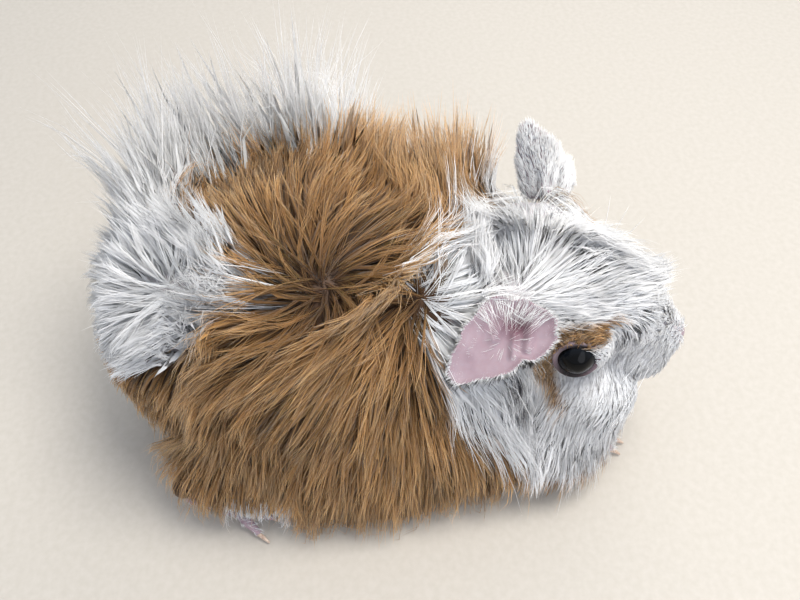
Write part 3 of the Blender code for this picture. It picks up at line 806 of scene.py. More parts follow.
def grow_guides(roots, faces, steps, layers):
    """Paths of guide hairs, stepped over the skin at their layer of the coat's depth."""
    count = len(roots)
    length = FACE_LENGTH[faces] * rng.uniform(0.82 - 0.3 * FACE_STAND[faces], 1.1)
    layer = rng.uniform(*layers, count)
    yaw = np.radians(rng.normal(0, 1, count) * (YAW + YAW_WHORL * FACE_WHORL[faces]))[:, None]
    step = (length / steps)[:, None]
    normal, flow = FACE_NORMAL[faces], FACE_FLOW[faces]
    lean = unit(flatten(flow, normal))
    lean = lean * np.cos(yaw) + np.cross(normal, lean) * np.sin(yaw)
    lift = FACE_LIFT[faces]
    fluff = ease(FACE_LENGTH[faces], 4, 12) * FACE_ON_HEAD[faces] * (0.35 + 0.65 * FACE_FAR[faces])
    rise = RISE_FLAT + RISE_RIDGE * lift + RISE_FLUFF * fluff + RISE_WHORL * FACE_WHORL[faces]
    rise = np.radians(np.clip(rise + rng.normal(0, 5, count), 12, 80))[:, None]
    way = lean * np.cos(rise) + normal * np.sin(rise)
    tilt = rng.normal(0, TILT, (count, 3))
    way = unit(way + (FACE_STAND_WAY[faces] + tilt) * 1.8 * FACE_STAND[faces][:, None])
    yaw = yaw * (1 - 0.7 * FACE_WHORL[faces][:, None])
    stand = FACE_STAND[faces]
    path, ups = [roots], [normal]
    place = roots
    for k in range(1, steps + 1):
        place = place + way * step
        low = place[:, 2] < FLOOR_LIE
        place[low, 2] = FLOOR_LIE
        step = np.where(low[:, None], step * FLOOR_DRAG, step)
        path.append(place)
        if k == steps:
            break
        feet, found = near_face(place)
        normal, lift = FACE_NORMAL[found], np.maximum(lift * 0.75, FACE_LIFT[found])
        height = np.sum((place - feet) * normal, axis=1)
        share = (k + 1) / steps
        stand = np.maximum(stand * 0.85, FACE_STAND[found])
        level = FACE_DEPTH[found] * layer * (1 - (1 - share) ** 2.1)
        level *= 1 + 0.35 * ease(-feet[:, 2], -26, -12)
        level += 0.6 * length * share * np.maximum(ease(lift, 0.25, 0.8), 1.4 * stand)
        climb = np.clip((level - height)[:, None] / step, -1.2, 1.7)
        flow = flatten(FACE_FLOW[found], normal)
        side = np.cross(normal, unit(flow)) * np.tan(yaw)
        ups.append(normal)
        hang = ease(normal[:, 2], 0.15, -0.45)[:, None]
        climb = np.where(climb < 0, climb * (1 - 0.5 * hang), climb)
        aim = flow * (1 - 0.5 * ease(lift, 0.3, 0.8)[:, None]) + side + normal * climb
        aim = unit(aim) + np.array((0, 0, -1)) * hang * 1.3
        aim = aim + (FACE_STAND_WAY[found] + tilt) * 2.2 * stand[:, None] * (1 - hang)
        way = unit(0.45 * way + 0.55 * unit(aim))
        way[:, 2] = np.where(place[:, 2] < 1.5, np.maximum(way[:, 2], 0), way[:, 2])
        way = unit(way)
    return np.stack(path, axis=1), np.stack(ups, axis=1), length


def follow(guides, roots, steps_at, tight, reach, wave):
    """Hairs that start at their own roots and close on their lock's guide."""
    last = guides.shape[1] - 1
    at = np.clip(steps_at * reach, 0, 1) * last
    low = np.minimum(at.astype(int), last - 1)
    part = (at - low)[..., None]
    rows = np.arange(len(guides))[:, None]
    spine = guides[rows, low] * (1 - part) + guides[rows, low + 1] * part
    offset = (roots - guides[:, 0])[:, None]
    keep = 1 - tight * (steps_at ** 1.2)
    bend = wave[:, None] * (steps_at[..., None] ** 2)
    return spine + offset * keep[..., None] + bend


# ---- Hair mesh ----
# A hair is a closed, tapered rod of keratin with three sides; a lock of under-hair is the same
# shape, pressed flat. Both are joined by the thousand into one piece, each with its patch of map.
TUFT_PATCH, LOCK_FLAT = 0.003, 0.1
HAIR_PROFILE = (0, 0.25, 0.6, 1), (0.7, 1, 0.85, 0.25)  # shares of the length, and of the thickness there
LOCK_PROFILE = (0, 0.3, 0.6, 1), (0.4, 1, 0.8, 0.1)
SOFT_WHITE, SOFT_GINGER = 0.92, 0.25  # how far a hair's shading follows the body's roundness under it


def lay_out(points):
    """Unwrap of the skin: round the body's long axis, and along it by angle from the tail."""
    middle, half = np.array((0, 0, 38)), np.array((50, 76, 48))
    way = unit((points - middle) / half)
    round_it = np.arctan2(way[:, 0], way[:, 2]) / (2 * np.pi) + 0.5
    along = np.arccos(np.clip(way[:, 1], -1, 1)) / np.pi
    return np.stack((round_it, along), axis=1) * 0.985 + 0.005


def set_values(data, values):
    """Writes what the materials read at each point."""
    for key, value in values.items():
        data.attributes.new(key, "FLOAT", "POINT").data.foreach_set("value", value.astype(np.float32))


def hair_faces(rings):
    """Corners of one hair's faces, where each face starts, and each corner's place on its patch."""
    corners, starts, where = [], [], []
    for ring in range(rings - 1):
        for k in range(3):
            after, low, high = (k + 1) % 3, ring * 3, ring * 3 + 3
            starts.append(len(corners))
            corners += [low + k, high + k, high + after, low + after]
            where += [(k, ring), (k, ring + 1), (k + 1, ring + 1), (k + 1, ring)]
    low, tip = (rings - 1) * 3, rings * 3
    for k in range(3):
        starts.append(len(corners))
        corners += [low + k, tip, low + (k + 1) % 3]
        where += [(k, rings - 1), (k + 0.5, rings), (k + 1, rings - 1)]
    return corners + [0, 1, 2], starts + [len(corners)], where + [(0, 0), (1.5, 0.4), (3, 0)]


def build_hair(name, paths, width, traits, shares, ups=None, facing=None):
    """One joined mesh of closed three-sided hairs and flat locks that taper to a point."""
    count, rings = paths.shape[0], paths.shape[1] - 1
    traits = {"lock": np.zeros(count), **traits}
    is_lock = traits["lock"][:, None] > 0
    if ups is None:
        ups = np.repeat(rng.normal(size=(count, 1, 3)), rings, axis=1)
    ahead = np.empty_like(paths[:, :rings])
    ahead[:, 1:] = paths[:, 2:] - paths[:, : rings - 1]
    ahead[:, 0] = paths[:, 1] - paths[:, 0]
    ahead = unit(ahead)
    side = unit(np.cross(ahead, ups))
    up = np.cross(side, ahead)
    profile, lock_profile = (np.interp(shares[:rings], *kind) for kind in (HAIR_PROFILE, LOCK_PROFILE))
    radius = width[:, None] * np.where(is_lock, lock_profile[None], profile[None])
    turns = np.where(is_lock, (0, np.pi / 2, np.pi), (0, 2 * np.pi / 3, 4 * np.pi / 3))
    across = side[:, :, None] * np.cos(turns)[:, None, :, None]
    across += up[:, :, None] * (np.sin(turns) * np.where(is_lock, LOCK_FLAT, 1))[:, None, :, None]
    ring_points = paths[:, :rings, None] + across * radius[:, :, None, None]
    size = rings * 3 + 1
    points = np.concatenate((ring_points.reshape(count, -1, 3), paths[:, -1:]), axis=1)
    corners, starts, where = hair_faces(rings)
    data = bpy.data.meshes.new(name)
    data.vertices.add(count * size)
    data.vertices.foreach_set("co", (points * MM).astype(np.float32).ravel())
    data.loops.add(count * len(corners))
    index = np.arange(count)[:, None] * size + np.array(corners)
    data.loops.foreach_set("vertex_index", index.astype(np.int32).ravel())
    data.polygons.add(count * len(starts))
    first = np.arange(count)[:, None] * len(corners) + np.array(starts)
    data.polygons.foreach_set("loop_start", first.astype(np.int32).ravel())
    data.update(calc_edges=True)
    data.validate()
    data.shade_smooth()
    if facing is not None:
        soft = (SOFT_WHITE + (SOFT_GINGER - SOFT_WHITE) * traits["ginger"])[:, None, None, None]
        turned = unit(unit(across) * (1 - soft) + facing[:, None, None] * soft).reshape(count, -1, 3)
        turned = np.concatenate((turned, facing[:, None]), axis=1).reshape(-1, 3)
        data.normals_split_custom_set_from_vertices(turned.astype(np.float32))
    layer = data.uv_layers.new(name="OFBake")
    base = lay_out(paths[:, 0])
    patch = np.array(where, float) / (3, rings) * TUFT_PATCH
    layer.data.foreach_set("uv", (base[:, None] + patch[None]).astype(np.float32).ravel())
    along = np.concatenate((np.repeat(shares[:rings], 3), (1.0,)))
    values = {"lie": np.tile(along, count), "across": np.tile((*(0, 0.5, 1.0) * rings, 0.5), count)}
    values.update({key: np.repeat(value, size) for key, value in traits.items()})
    set_values(data, values)
    return add_object(name, data)


# ---- Hair material ----
# Guard hair: smooth keratin, a soft sheen along each hair. Its colour runs from a dark root to a pale tip,
# partly the hair's own colour and partly painted shade deep in the coat and painted light on the tips.
# Each lock and each hair has its own tone, and the under-hair is drawn with fine strands whose grooves are
# painted darker and raised strands lighter, painted shade on top of their own tone.
# Colours from root to tip: the darker roots are partly painted shade, the paler tips partly painted light.
GINGER_HAIR = ((0.0, "#38220f"), (0.3, "#6b4824"), (0.7, "#a0723f"), (1.0, "#dcae72"))
WHITE_HAIR = ((0.0, "#e4e5e7"), (0.3, "#f0f1f2"), (0.65, "#f6f6f7"), (1.0, "#fdfdfd"))
GREY_HAIR = "#4b4a50"
TONE_PATCH, LOCK_STRANDS = 9.0, 11  # width of the paler and darker patches; strands across a lock


def colour(code):
    """A hex sRGB colour as linear red, green, blue and alpha."""
    parts = [int(code[k : k + 2], 16) / 255 for k in (1, 3, 5)]
    return (*(c / 12.92 if c <= 0.04045 else ((c + 0.055) / 1.055) ** 2.4 for c in parts), 1.0)


def set_inputs(tree, node, inputs):
    """Sets a node's inputs: each is a plain value, or the output that it is linked to."""
    for key, value in inputs.items():
        if isinstance(value, bpy.types.NodeSocket):
            tree.links.new(value, node.inputs[key])
        else:
            node.inputs[key].default_value = value


def add_node(tree, kind, out, inputs=None, stops=(), **settings):
    """Adds a shader node with its settings, inputs and colour stops, and gives back one output."""
    added = tree.nodes.new("ShaderNode" + kind)
    for key, value in settings.items():
        setattr(added, key, value)
    set_inputs(tree, added, inputs or {})
    for k, (position, code) in enumerate(stops):
        elements = added.color_ramp.elements
        element = elements[k] if k < 2 else elements.new(position)
        element.position, element.color = position, colour(code)
    return added.outputs[out]


def new_material(name):
    material = bpy.data.materials.new(name)
    material.use_nodes = True
    tree = material.node_tree
    return material, tree, tree.nodes["Principled BSDF"]


def make_coat_material():
    material, tree, shader = new_material("guard_hair_keratin")
    along, across, ginger, grey, tone, lock = (
        add_node(tree, "Attribute", "Fac", attribute_name=name)
        for name in ("lie", "across", "ginger", "grey", "tone", "lock")
    )
    white_hair = add_node(tree, "ValToRGB", "Color", {"Fac": along}, WHITE_HAIR)
    ginger_hair = add_node(tree, "ValToRGB", "Color", {"Fac": along}, GINGER_HAIR)
    base = add_node(tree, "Mix", 2, {0: ginger, 6: white_hair, 7: ginger_hair}, data_type="RGBA")
    base = add_node(tree, "Mix", 2, {0: grey, 6: base, 7: colour(GREY_HAIR)}, data_type="RGBA")
    place = add_node(tree, "TexCoord", "Object")
    patch = {"Vector": place, "Scale": 1 / (TONE_PATCH * MM), "Detail": 2.0}
    patch = {"Value": add_node(tree, "TexNoise", "Fac", patch), "From Min": 0.3, "From Max": 0.7}
    patch = add_node(tree, "MapRange", "Result", {**patch, "To Min": 0.8, "To Max": 1.2})
    shade = add_node(tree, "Math", "Value", {0: tone, 1: patch}, operation="MULTIPLY")
    strand = add_node(tree, "CombineXYZ", "Vector", {"X": across, "Y": along, "Z": tone})
    strand = {0: strand, 1: (LOCK_STRANDS, 1.2, 90)}
    strand = add_node(tree, "VectorMath", "Vector", strand, operation="MULTIPLY")
    strand = add_node(tree, "TexNoise", "Fac", {"Vector": strand, "Scale": 1.0, "Detail": 1.5})
    lift = {"Value": strand, "From Min": 0.3, "From Max": 0.7, "To Min": -0.16, "To Max": 0.16}
    lift = add_node(tree, "MapRange", "Result", lift)
    # How strongly the strand bump and its painted groove shade show: most on ginger locks, none on single
    # hairs.
    depth = add_node(tree, "MapRange", "Result", {"Value": ginger, "To Min": 0.35, "To Max": 1.3})
    depth = add_node(tree, "Math", "Value", {0: depth, 1: lock}, operation="MULTIPLY")
    lift = add_node(tree, "Math", "Value", {0: lift, 1: depth}, operation="MULTIPLY")
    # The strands' colour follows their bump: painted shade in the grooves and painted light on the raised
    # strands.
    shade = add_node(tree, "Math", "Value", {0: shade, 1: lift}, operation="ADD")
    shade = add_node(tree, "CombineColor", "Color", {"Red": shade, "Green": shade, "Blue": shade})
    base = {0: 1.0, 6: base, 7: shade}
    clear = {"Value": ginger, "To Min": 0.4, "To Max": 0.45}
    strands = {"Height": lift, "Strength": 0.8, "Distance": 0.35 * MM}
    looks = {
        "Base Color": add_node(tree, "Mix", 2, base, data_type="RGBA", blend_type="MULTIPLY"),
        "Normal": add_node(tree, "Bump", "Normal", strands),
        "Subsurface Weight": add_node(tree, "MapRange", "Result", clear),
        "Subsurface Radius": (1.0, 0.85, 0.7),
        "Subsurface Scale": 1.5 * MM,
        "Roughness": 0.5,
        "Specular IOR Level": 0.15,
        "IOR": 1.55,
        "Sheen Weight": 0.2,
        "Sheen Roughness": 0.5,
    }
    set_inputs(tree, shader, looks)
    return material


hair_material = make_coat_material()


def finish_piece(piece, material, slot, *nodes):
    """Every piece gets its material, rides with the model and stands for its nodes; the slot it is given is
    not used.
    """
    piece.data.materials.clear()
    piece.data.materials.append(material)
    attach(piece, "root")
    if nodes:
        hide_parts(*nodes)


# ---- Coat ----
# Locks of hair over flat under-hair, rooted evenly over the skin and marked by their roots' place.
# Whatever would cover the eyes, the open ears or the nose pad is left out, as it is in life.
HAIR_LAYERS, FLAT_LAYERS = (0.4, 1.05), (0.2, 0.72)  # share of the coat's depth each lies at
SWATHES, STRAYS = 900, 0.1  # broad paler and darker swathes; share of hairs that leave their lock
TONE_WHITE, TONE_GINGER, TONE_SWATHE = 0.03, 0.13, 0.25  # how much locks, hairs and swathes differ
STRAY_REACH = 11.5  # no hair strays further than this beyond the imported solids' box
NOSE_PAD = (0, -34.8, -0.8), (2.7, 3.0, 2.6)  # middle and half sizes of the bare nose
LASH_GAP, EYE_FRONT = 0.35, 3.5  # hair keeps this clear of the globe, and of the view in front of it


def eye_ways(side):
    return np.array(EYE_AT[side]) / MM, np.array((HEAD.to_3x3() @ EYE_AXES[side]).normalized())


def ear_place(points, side):
    """Places in an ear's own axes, as a share of the way to its rim, and height over its face."""
    canal, forward, outward, inner = ear_axes(side)
    local = in_head(points * MM) - canal
    flat = np.stack((local @ forward / forward.dot(forward), local @ outward), axis=-1)
    rim = ear_rim(np.arange(180) / 180) - EAR_HUB
    angles, sizes = np.arctan2(rim[:, 1], rim[:, 0]), np.linalg.norm(rim, axis=1)
    order = np.argsort(angles)
    off = flat - EAR_HUB
    size = np.interp(np.arctan2(off[..., 1], off[..., 0]), angles[order], sizes[order], period=2 * np.pi)
    share = np.linalg.norm(off, axis=-1) / size
    height = ear_height(flat.reshape(-1, 2), np.minimum(share, 1).ravel()).reshape(share.shape)
    return share, local @ inner - height, flat


def clear_of_features(paths, wisps, flat):
    """True for hairs that leave the eyes, the open side of the ears and the nose pad free."""
    nose_far = np.linalg.norm((in_head(paths * MM) - NOSE_PAD[0]) / NOSE_PAD[1], axis=2)
    keep = (nose_far > 1).all(axis=1)
    for side in EYE_AXES:
        centre, axis = eye_ways(side)
        offset = paths - centre
        far = np.linalg.norm(offset, axis=2)
        front = np.einsum("nkd,d->nk", offset, axis)
        blocks = (far < EYE_RADIUS + LASH_GAP) | ((far < EYE_RADIUS + EYE_FRONT) & (front > far * 0.72))
        keep &= ~blocks[:, 1:].any(axis=1)
        share, height, _ = ear_place(paths, side)
        covers = ((share < 0.97) & (height > -1.6) & (height < 4.5)).any(axis=1)
        under = flat & (share[:, 0] < 1) & (np.abs(height[:, 0]) < 9)
        keep &= (~covers | (~flat & (rng.random(len(paths)) < wisps))) & ~under
    return keep


def nearest_of(roots, places):
    """Index of the root nearest to each place."""
    tree = KDTree(len(roots))
    for k, root in enumerate(roots):
        tree.insert(root, k)
    tree.balance()
    return np.array([tree.find(place)[1] for place in places])


def grow_coat(weight, locks, flats, hairs, steps, shares, width, wisps):
    """Flat locks and the hairs over them: paths, facing, widths and what their colour needs."""
    roots, faces = scatter(weight, locks)
    guides, _, lengths = grow_guides(roots, faces, steps, HAIR_LAYERS)
    starts, feet = scatter(weight, hairs)
    lock = nearest_of(roots, starts)
    tight = np.clip(rng.normal(0.35, 0.22, locks), 0.0, 0.8)[lock]
    stray = rng.random(hairs) < STRAYS
    tight = np.where(stray, 0.0, tight * rng.uniform(0.7, 1.05, hairs))[:, None]
    reach = np.where(stray, rng.uniform(0.9, 1.0, hairs), rng.uniform(0.72, 1.0, hairs))[:, None]
    wave = rng.normal(0, 1, (hairs, 3)) * (np.where(stray, 0.085, 0.022) * lengths[lock])[:, None]
    paths = follow(guides[lock], starts, np.tile(shares, (hairs, 1)), tight, reach, wave)
    clear = (1 - ease(FACE_WHORL, 0.1, 0.5)) * (1 - 0.8 * FACE_STAND)
    flat_roots, flat_faces = scatter(weight * clear, flats)
    flat_paths, flat_ups, _ = grow_guides(flat_roots, flat_faces, steps, FLAT_LAYERS)
    still, whole = np.zeros((flats, 1)), np.tile(shares, (flats, 1))
    cut_back = rng.uniform(0.7, 0.95, (flats, 1))
    lock_paths = follow(flat_paths, flat_roots, whole, still, cut_back, np.zeros((flats, 3)))
    lock_ups = follow(flat_ups, flat_ups[:, 0], whole, still, cut_back, np.zeros((flats, 3)))
    paths = np.concatenate((paths, lock_paths))
    lock = np.concatenate((lock, nearest_of(roots, flat_roots)))
    ups = np.repeat(rng.normal(size=(hairs, 1, 3)), len(shares), axis=1)
    ups = np.concatenate((ups, lock_ups))[:, : len(shares) - 1]
    paths[..., 2] = np.maximum(paths[..., 2], 0.35)
    stand = np.concatenate((FACE_STAND[feet], FACE_STAND[flat_faces]))[:, None]
    middle = paths[:, len(shares) // 2 + 1]
    ginger, _ = markings(paths[:, 0] + (middle - paths[:, 0]) * 0.75 * (1 - stand))
    _, grey = markings(paths[:, -2])
    count = len(paths)
    flat = np.arange(count) >= hairs
    tone_lock = np.clip(rng.normal(0, 1, locks), -2, 2)[lock]
    tone_hair = np.clip(rng.normal(0, 1, count), -2, 2)
    of_swathe = nearest_of(scatter(weight, SWATHES)[0], paths[:, 0])
    tone_swathe = np.clip(rng.normal(0, 1, SWATHES), -2, 2)[of_swathe]
    tone = 1 + (TONE_WHITE + TONE_GINGER * ginger) * (0.75 * tone_lock + 0.6 * tone_hair)
    tone = tone + TONE_SWATHE * ginger * tone_swathe
    ginger = np.clip(ginger + rng.normal(0, 0.16, count) * (ginger > 0.02) * (ginger < 0.98), 0, 1)
    grey *= rng.random(count) < 0.8
    traits = {"ginger": ginger, "grey": grey, "tone": tone, "lock": flat.astype(float)}
    thick = np.where(flat, width[1], width[0]) * rng.uniform(0.75, 1.2, count)
    keep = clear_of_features(paths, wisps, flat)
    low, high = np.array(cad_box) / MM
    keep &= ((paths > low - STRAY_REACH) & (paths < high + STRAY_REACH)).all(axis=(1, 2))
    traits = {key: value[keep] for key, value in traits.items()}
    facing = np.concatenate((FACE_NORMAL[feet], FACE_NORMAL[flat_faces]))
    return paths[keep], ups[keep], facing[keep], thick[keep], traits


def dress(pieces, hair, ups, facing, thick, traits, shares):
    """Makes each piece of the coat from its own part of the hair."""
    for name, slot, own in pieces:
        part = {key: value[own] for key, value in traits.items()}
        piece = build_hair(name, hair[own], thick[own], part, shares, ups[own], facing[own])
        finish_piece(piece, hair_material, slot)


# ---- Body coat ----
# Long guard hair on rump, back, flanks, shoulders and chest, in locks about two millimetres wide
# with under-hair between them. It grows from the skin, longest on the crest over the left side.
# Hairs are drawn about twice as thick as real ones, so that they show and the skin doesn't.
BODY_LOCKS, BODY_FLATS, BODY_HAIRS, BODY_WIDTH = 6500, 6500, 33500, (0.1, 0.68)
BODY_SHARES = np.array((0, 0.2, 0.48, 0.77, 1.0))
under = 1 - 0.8 * ease(-FACE_NORMAL[:, 2], 0.45, 0.85) * ease(-FACE_MIDDLE[:, 2], -20, -8)
body_weight = (1 - FACE_ON_HEAD) * under * (1 + 1.8 * FACE_STAND + 5 * FACE_WHORL)
body_coat = grow_coat(body_weight, BODY_LOCKS, BODY_FLATS, BODY_HAIRS, 8, BODY_SHARES, BODY_WIDTH, 0.03)
root = body_coat[0][:, 0]
BODY_PIECES = (
    ("coat_rump_right", "white_coat", (root[:, 1] > 30) & (root[:, 0] < 0)),
    ("coat_rump_left", "white_coat", (root[:, 1] > 30) & (root[:, 0] >= 0)),
    ("coat_flank_right", "ginger_coat", (root[:, 1] <= 30) & (root[:, 1] > 2) & (root[:, 0] < 0)),
    ("coat_flank_left", "white_coat", (root[:, 1] <= 30) & (root[:, 1] > 2) & (root[:, 0] >= 0)),
    ("coat_shoulder_right", "ginger_coat", (root[:, 1] <= 2) & (root[:, 0] < -8)),
    ("coat_shoulder_left", "ginger_coat", (root[:, 1] <= 2) & (root[:, 0] >= -8)),
)
dress(BODY_PIECES, *body_coat, BODY_SHARES)

# ---- Head coat ----
# Shorter, finer hair on crown, cheeks and throat, down to a nap of three millimetres on the muzzle.
# It grows back from the nose, parts round eyes and ears and leaves the nose pad bare.
HEAD_LOCKS, HEAD_FLATS, HEAD_HAIRS, HEAD_WIDTH = 7000, 8000, 26000, (0.076, 0.4)
HEAD_SHARES = np.array((0, 0.35, 0.72, 1.0))
head_weight = FACE_ON_HEAD * np.clip(12 / FACE_LENGTH, 0.8, 2.6)
head_coat = grow_coat(head_weight, HEAD_LOCKS, HEAD_FLATS, HEAD_HAIRS, 5, HEAD_SHARES, HEAD_WIDTH, 0.09)
root = in_head(head_coat[0][:, 0] * MM)
HEAD_PIECES = (
    ("coat_crown", "white_coat", (root[:, 2] > 8) & (root[:, 1] > -14)),
    ("coat_cheek_right", "white_coat", (root[:, 2] <= 8) & (root[:, 1] > -14) & (root[:, 0] < 0)),
    ("coat_cheek_left", "white_coat", (root[:, 2] <= 8) & (root[:, 1] > -14) & (root[:, 0] >= 0)),
    ("coat_muzzle_right", "white_coat", (root[:, 1] <= -14) & (root[:, 0] < 0)),
    ("coat_muzzle_left", "white_coat", (root[:, 1] <= -14) & (root[:, 0] >= 0)),
)
dress(HEAD_PIECES, *head_coat, HEAD_SHARES)

# ---- Ear fuzz ----
# White down edges each ear, covers its back and lies thinly inside it; longer wisps at the canal.
# It is the finest hair on the animal, rooted in the ear's skin and combed out to its rim.
FUZZ_SHARES = np.array((0, 0.4, 1.0))
FUZZ_KINDS = (  # hairs, share of the way to the rim, side of the leaf, length, lean out, width
    (500, (0.94, 1.0), 1, (0.6, 1.9), 0.3, 0.05),
    (600, (0.93, 1.0), -1, (0.8, 1.9), 0.3, 0.05),
    (2300, (0.0, 0.97), -1, (2.2, 3.8), 0.3, 0.1),
    (900, (0.3, 0.97), 1, (1.0, 2.0), 0.12, 0.035),
    (120, (0.93, 1.0), 1, (-9.0, -4.0), 0.16, 0.045),
    (24, (0.05, 0.35), 1, (2.0, 4.0), 0.55, 0.045),
)

BACK_COMB = (-0.8, 2.0)  # hair on the ear's back runs from its root to its tip
DOWN_GLOW = (0, 0, 0.8)  # down scatters the light from above, so its shading leans upwards


def ear_fuzz(side):
    canal, forward, outward, inner = ear_axes(side)
    paths, widths, facing = [], [], []
    for count, (near, far), leaf, (short, long), lean, width in FUZZ_KINDS:
        turn, share = rng.random(count), rng.uniform(near**2, far**2, count) ** 0.5
        turn = np.where(short < 0, 0.08 + 0.3 * turn, turn)  # wisps hang inwards from the top edge
        hub, rim = np.array(EAR_HUB), ear_rim(turn)
        length = rng.uniform(short, long, count)
        to_tip = BACK_COMB if leaf < 0 and near < 0.5 else (0, 0)
        rim_way = unit(unit(rim - hub) + to_tip + rng.normal(0, 0.16, (count, 2)))
        rows = []
        for part in FUZZ_SHARES:
            run = (length * part * (1 - 0.3 * lean * part))[:, None]
            flat = hub + (rim - hub) * share[:, None] + rim_way * run
            out = leaf * (EAR_THICK * 0.45 + lean * np.abs(length) * part)
            height = ear_height(flat, np.minimum(share, 1)) + out
            rows.append(canal + flat[:, :1] * forward + flat[:, 1:] * outward + height[:, None] * inner)
        paths.append(from_head(np.stack(rows, axis=1)) / MM)
        widths.append(np.full(count, width) * rng.uniform(0.8, 1.2, count))
        out_of_leaf = unit(from_head(leaf * inner) - from_head(0 * inner))
        facing.append(np.tile(unit(out_of_leaf + DOWN_GLOW), (count, 1)))
    return np.concatenate(paths), np.concatenate(widths), np.concatenate(facing)


def plain_white(count, darkest):
    return {"ginger": np.zeros(count), "grey": np.zeros(count), "tone": rng.uniform(darkest, 1.05, count)}


for side in EARS:
    hair, thick, facing = ear_fuzz(side)
    traits = plain_white(len(hair), 0.9)
    fuzz = build_hair("fuzz_ear_" + side, hair, thick, traits, FUZZ_SHARES, facing=facing)
    finish_piece(fuzz, hair_material, "white_coat")

# ---- Foot nap ----
# Short white hair over the tops of the feet, thin enough to show the toes. It is rooted in the
# skin of the foot and lies towards the claws.
NAP_HAIRS, NAP_LENGTH, NAP_WIDTH = 420, 1.9, 0.07
for foot in FEET:
    low, high = (np.array(corner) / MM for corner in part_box(foot))
    points, normals = points_of(skin) / MM, normals_of(skin)
    chosen = ((points > low - 0.5) & (points < high + 0.8)).all(axis=1) & (normals[:, 2] > 0.1)
    picks = rng.choice(np.flatnonzero(chosen), NAP_HAIRS)
    claws = [np.array(middle) / MM for middle in claws_of(foot)]
    ahead = unit(np.mean(claws, axis=0) - (low + high) / 2)
    way = unit(unit(flatten(ahead, normals[picks])) + 0.35 * normals[picks])
    way = unit(way + rng.normal(0, 0.12, way.shape))
    length = NAP_LENGTH * rng.uniform(0.7, 1.2, NAP_HAIRS)
    hair = points[picks][:, None] + way[:, None] * (length[:, None] * FUZZ_SHARES)[..., None]
    hair[..., 2] = np.maximum(hair[..., 2], 0.1)
    widths = np.full(NAP_HAIRS, NAP_WIDTH)
    nap = build_hair("nap_" + foot, hair, widths, plain_white(NAP_HAIRS, 0.85), FUZZ_SHARES)
    finish_piece(nap, hair_material, "white_coat")

# ---- Whiskers ----
# Stiff clear-white hairs in rows on each whisker pad, swept back and down, and a few over the eye.
# Each is a thicker guard hair of its own that tapers to nothing and sags a little.
WHISKER_SHARES, WHISKER_WIDTH = np.array((0, 0.15, 0.35, 0.55, 0.78, 1.0)), 0.1
WHISKER_ROWS = ((-26, -2.5, 4, 22), (-25, -5, 5, 26), (-24, -7.5, 4, 20))  # back, up, count, length
whiskers = []
for hand in (-1, 1):
    for back_at, up_at, count, long in WHISKER_ROWS:
        for k in range(count):
            start = np.array((hand * 8.0, back_at + 2.2 * k - 2, up_at + 0.3 * k))
            way = unit(np.array((hand * 0.9, 0.28 + 0.12 * k, -0.18 - 0.06 * k)) + rng.normal(0, 0.08, 3))
            sag = np.array((0, 0.18, -0.3)) + rng.normal(0, 0.06, 3)
            length = long * rng.uniform(0.75, 1.05)
            along = (WHISKER_SHARES * length)[:, None]
            whiskers.append(start + way * along + sag * length * (WHISKER_SHARES**2)[:, None] * 0.6)
    for k in range(3):
        start = np.array((hand * (14 - 1.5 * k), -9.0 - 1.5 * k, 13.0))
        way = unit(np.array((hand * 0.5, 0.1 - 0.3 * k, 0.8)))
        whiskers.append(start + way * (WHISKER_SHARES * 11)[:, None])
hair = from_head(np.array(whiskers)) / MM
hair[..., 2] = np.maximum(hair[..., 2], 0.8)
widths = np.full(len(hair), WHISKER_WIDTH)
whisker_piece = build_hair("whiskers", hair, widths, plain_white(len(hair), 0.95), WHISKER_SHARES)
finish_piece(whisker_piece, hair_material, "white_coat")

# ---- Skin finish ----
# Bare skin is thin and pink, mauve in the ear's hollow by the canal, partly its own tone and partly painted
# shade, dark grey on the lids.
# Under the coat it is paler below white hair and tanned below ginger, with fine pores.
PORE, BLOTCH = 0.35, 3.0  # pores, drawn coarser than real ones so that they show; paler patches
CONCHA = ((0.6, 0.6), (4.2, 3.4))  # middle and size of the ear's hollow
DARK_LID = (LID_OPEN + 3, LID_OPEN + 17)  # degrees over which the lid's dark edge fades
NOSE_BARE, FOOT_BARE = (3.2, 4.6), (7, 10)  # how far from the nose and how high over the floor skin is bare
skin_points = points_of(skin) / MM
skin_ginger, _ = markings(skin_points)
ear_near, painted_hollow_shade, lid_near, bare_lid = np.zeros((4, len(skin_points)))
for side in EYE_AXES:
    share, height, flat = ear_place(skin_points, side)
    on_ear = (share < 1.12) & (np.abs(height) < 2.2)
    ear_near = np.maximum(ear_near, on_ear.astype(float))
    inside = on_ear & (height > -0.3)
    # The ear's hollow round the canal is painted mauve: partly the skin's own tone, partly painted shade in
    # the recess.
    deep = np.exp(-(np.linalg.norm((flat - CONCHA[0]) / CONCHA[1], axis=1) ** 2))
    painted_hollow_shade = np.maximum(painted_hollow_shade, inside * deep)
    centre, axis = eye_ways(side)
    far = np.linalg.norm(skin_points - centre, axis=1)
    off_axis = np.degrees(np.arccos(np.clip(unit(skin_points - centre) @ axis, -1, 1)))
    on_lid = (1 - ease(off_axis, *DARK_LID)) * (far < EYE_RADIUS + 2)
    lid_near = np.maximum(lid_near, on_lid)
    bare_lid = np.maximum(bare_lid, 1 - ease(far, EYE_RADIUS + 2, EYE_RADIUS + 4))
nose_near = 1 - ease(np.linalg.norm(in_head(skin_points * MM) - NOSE_PAD[0], axis=1), *NOSE_BARE)
foot_near = 1 - ease(skin_points[:, 2], *FOOT_BARE)
bare = np.maximum.reduce((ear_near, nose_near, foot_near, bare_lid))
skin_values = {"ginger": skin_ginger * (1 - bare), "bare": bare, "hollow_shade": painted_hollow_shade, "lid": lid_near}
set_values(skin.data, skin_values)
skin.data.shade_smooth()

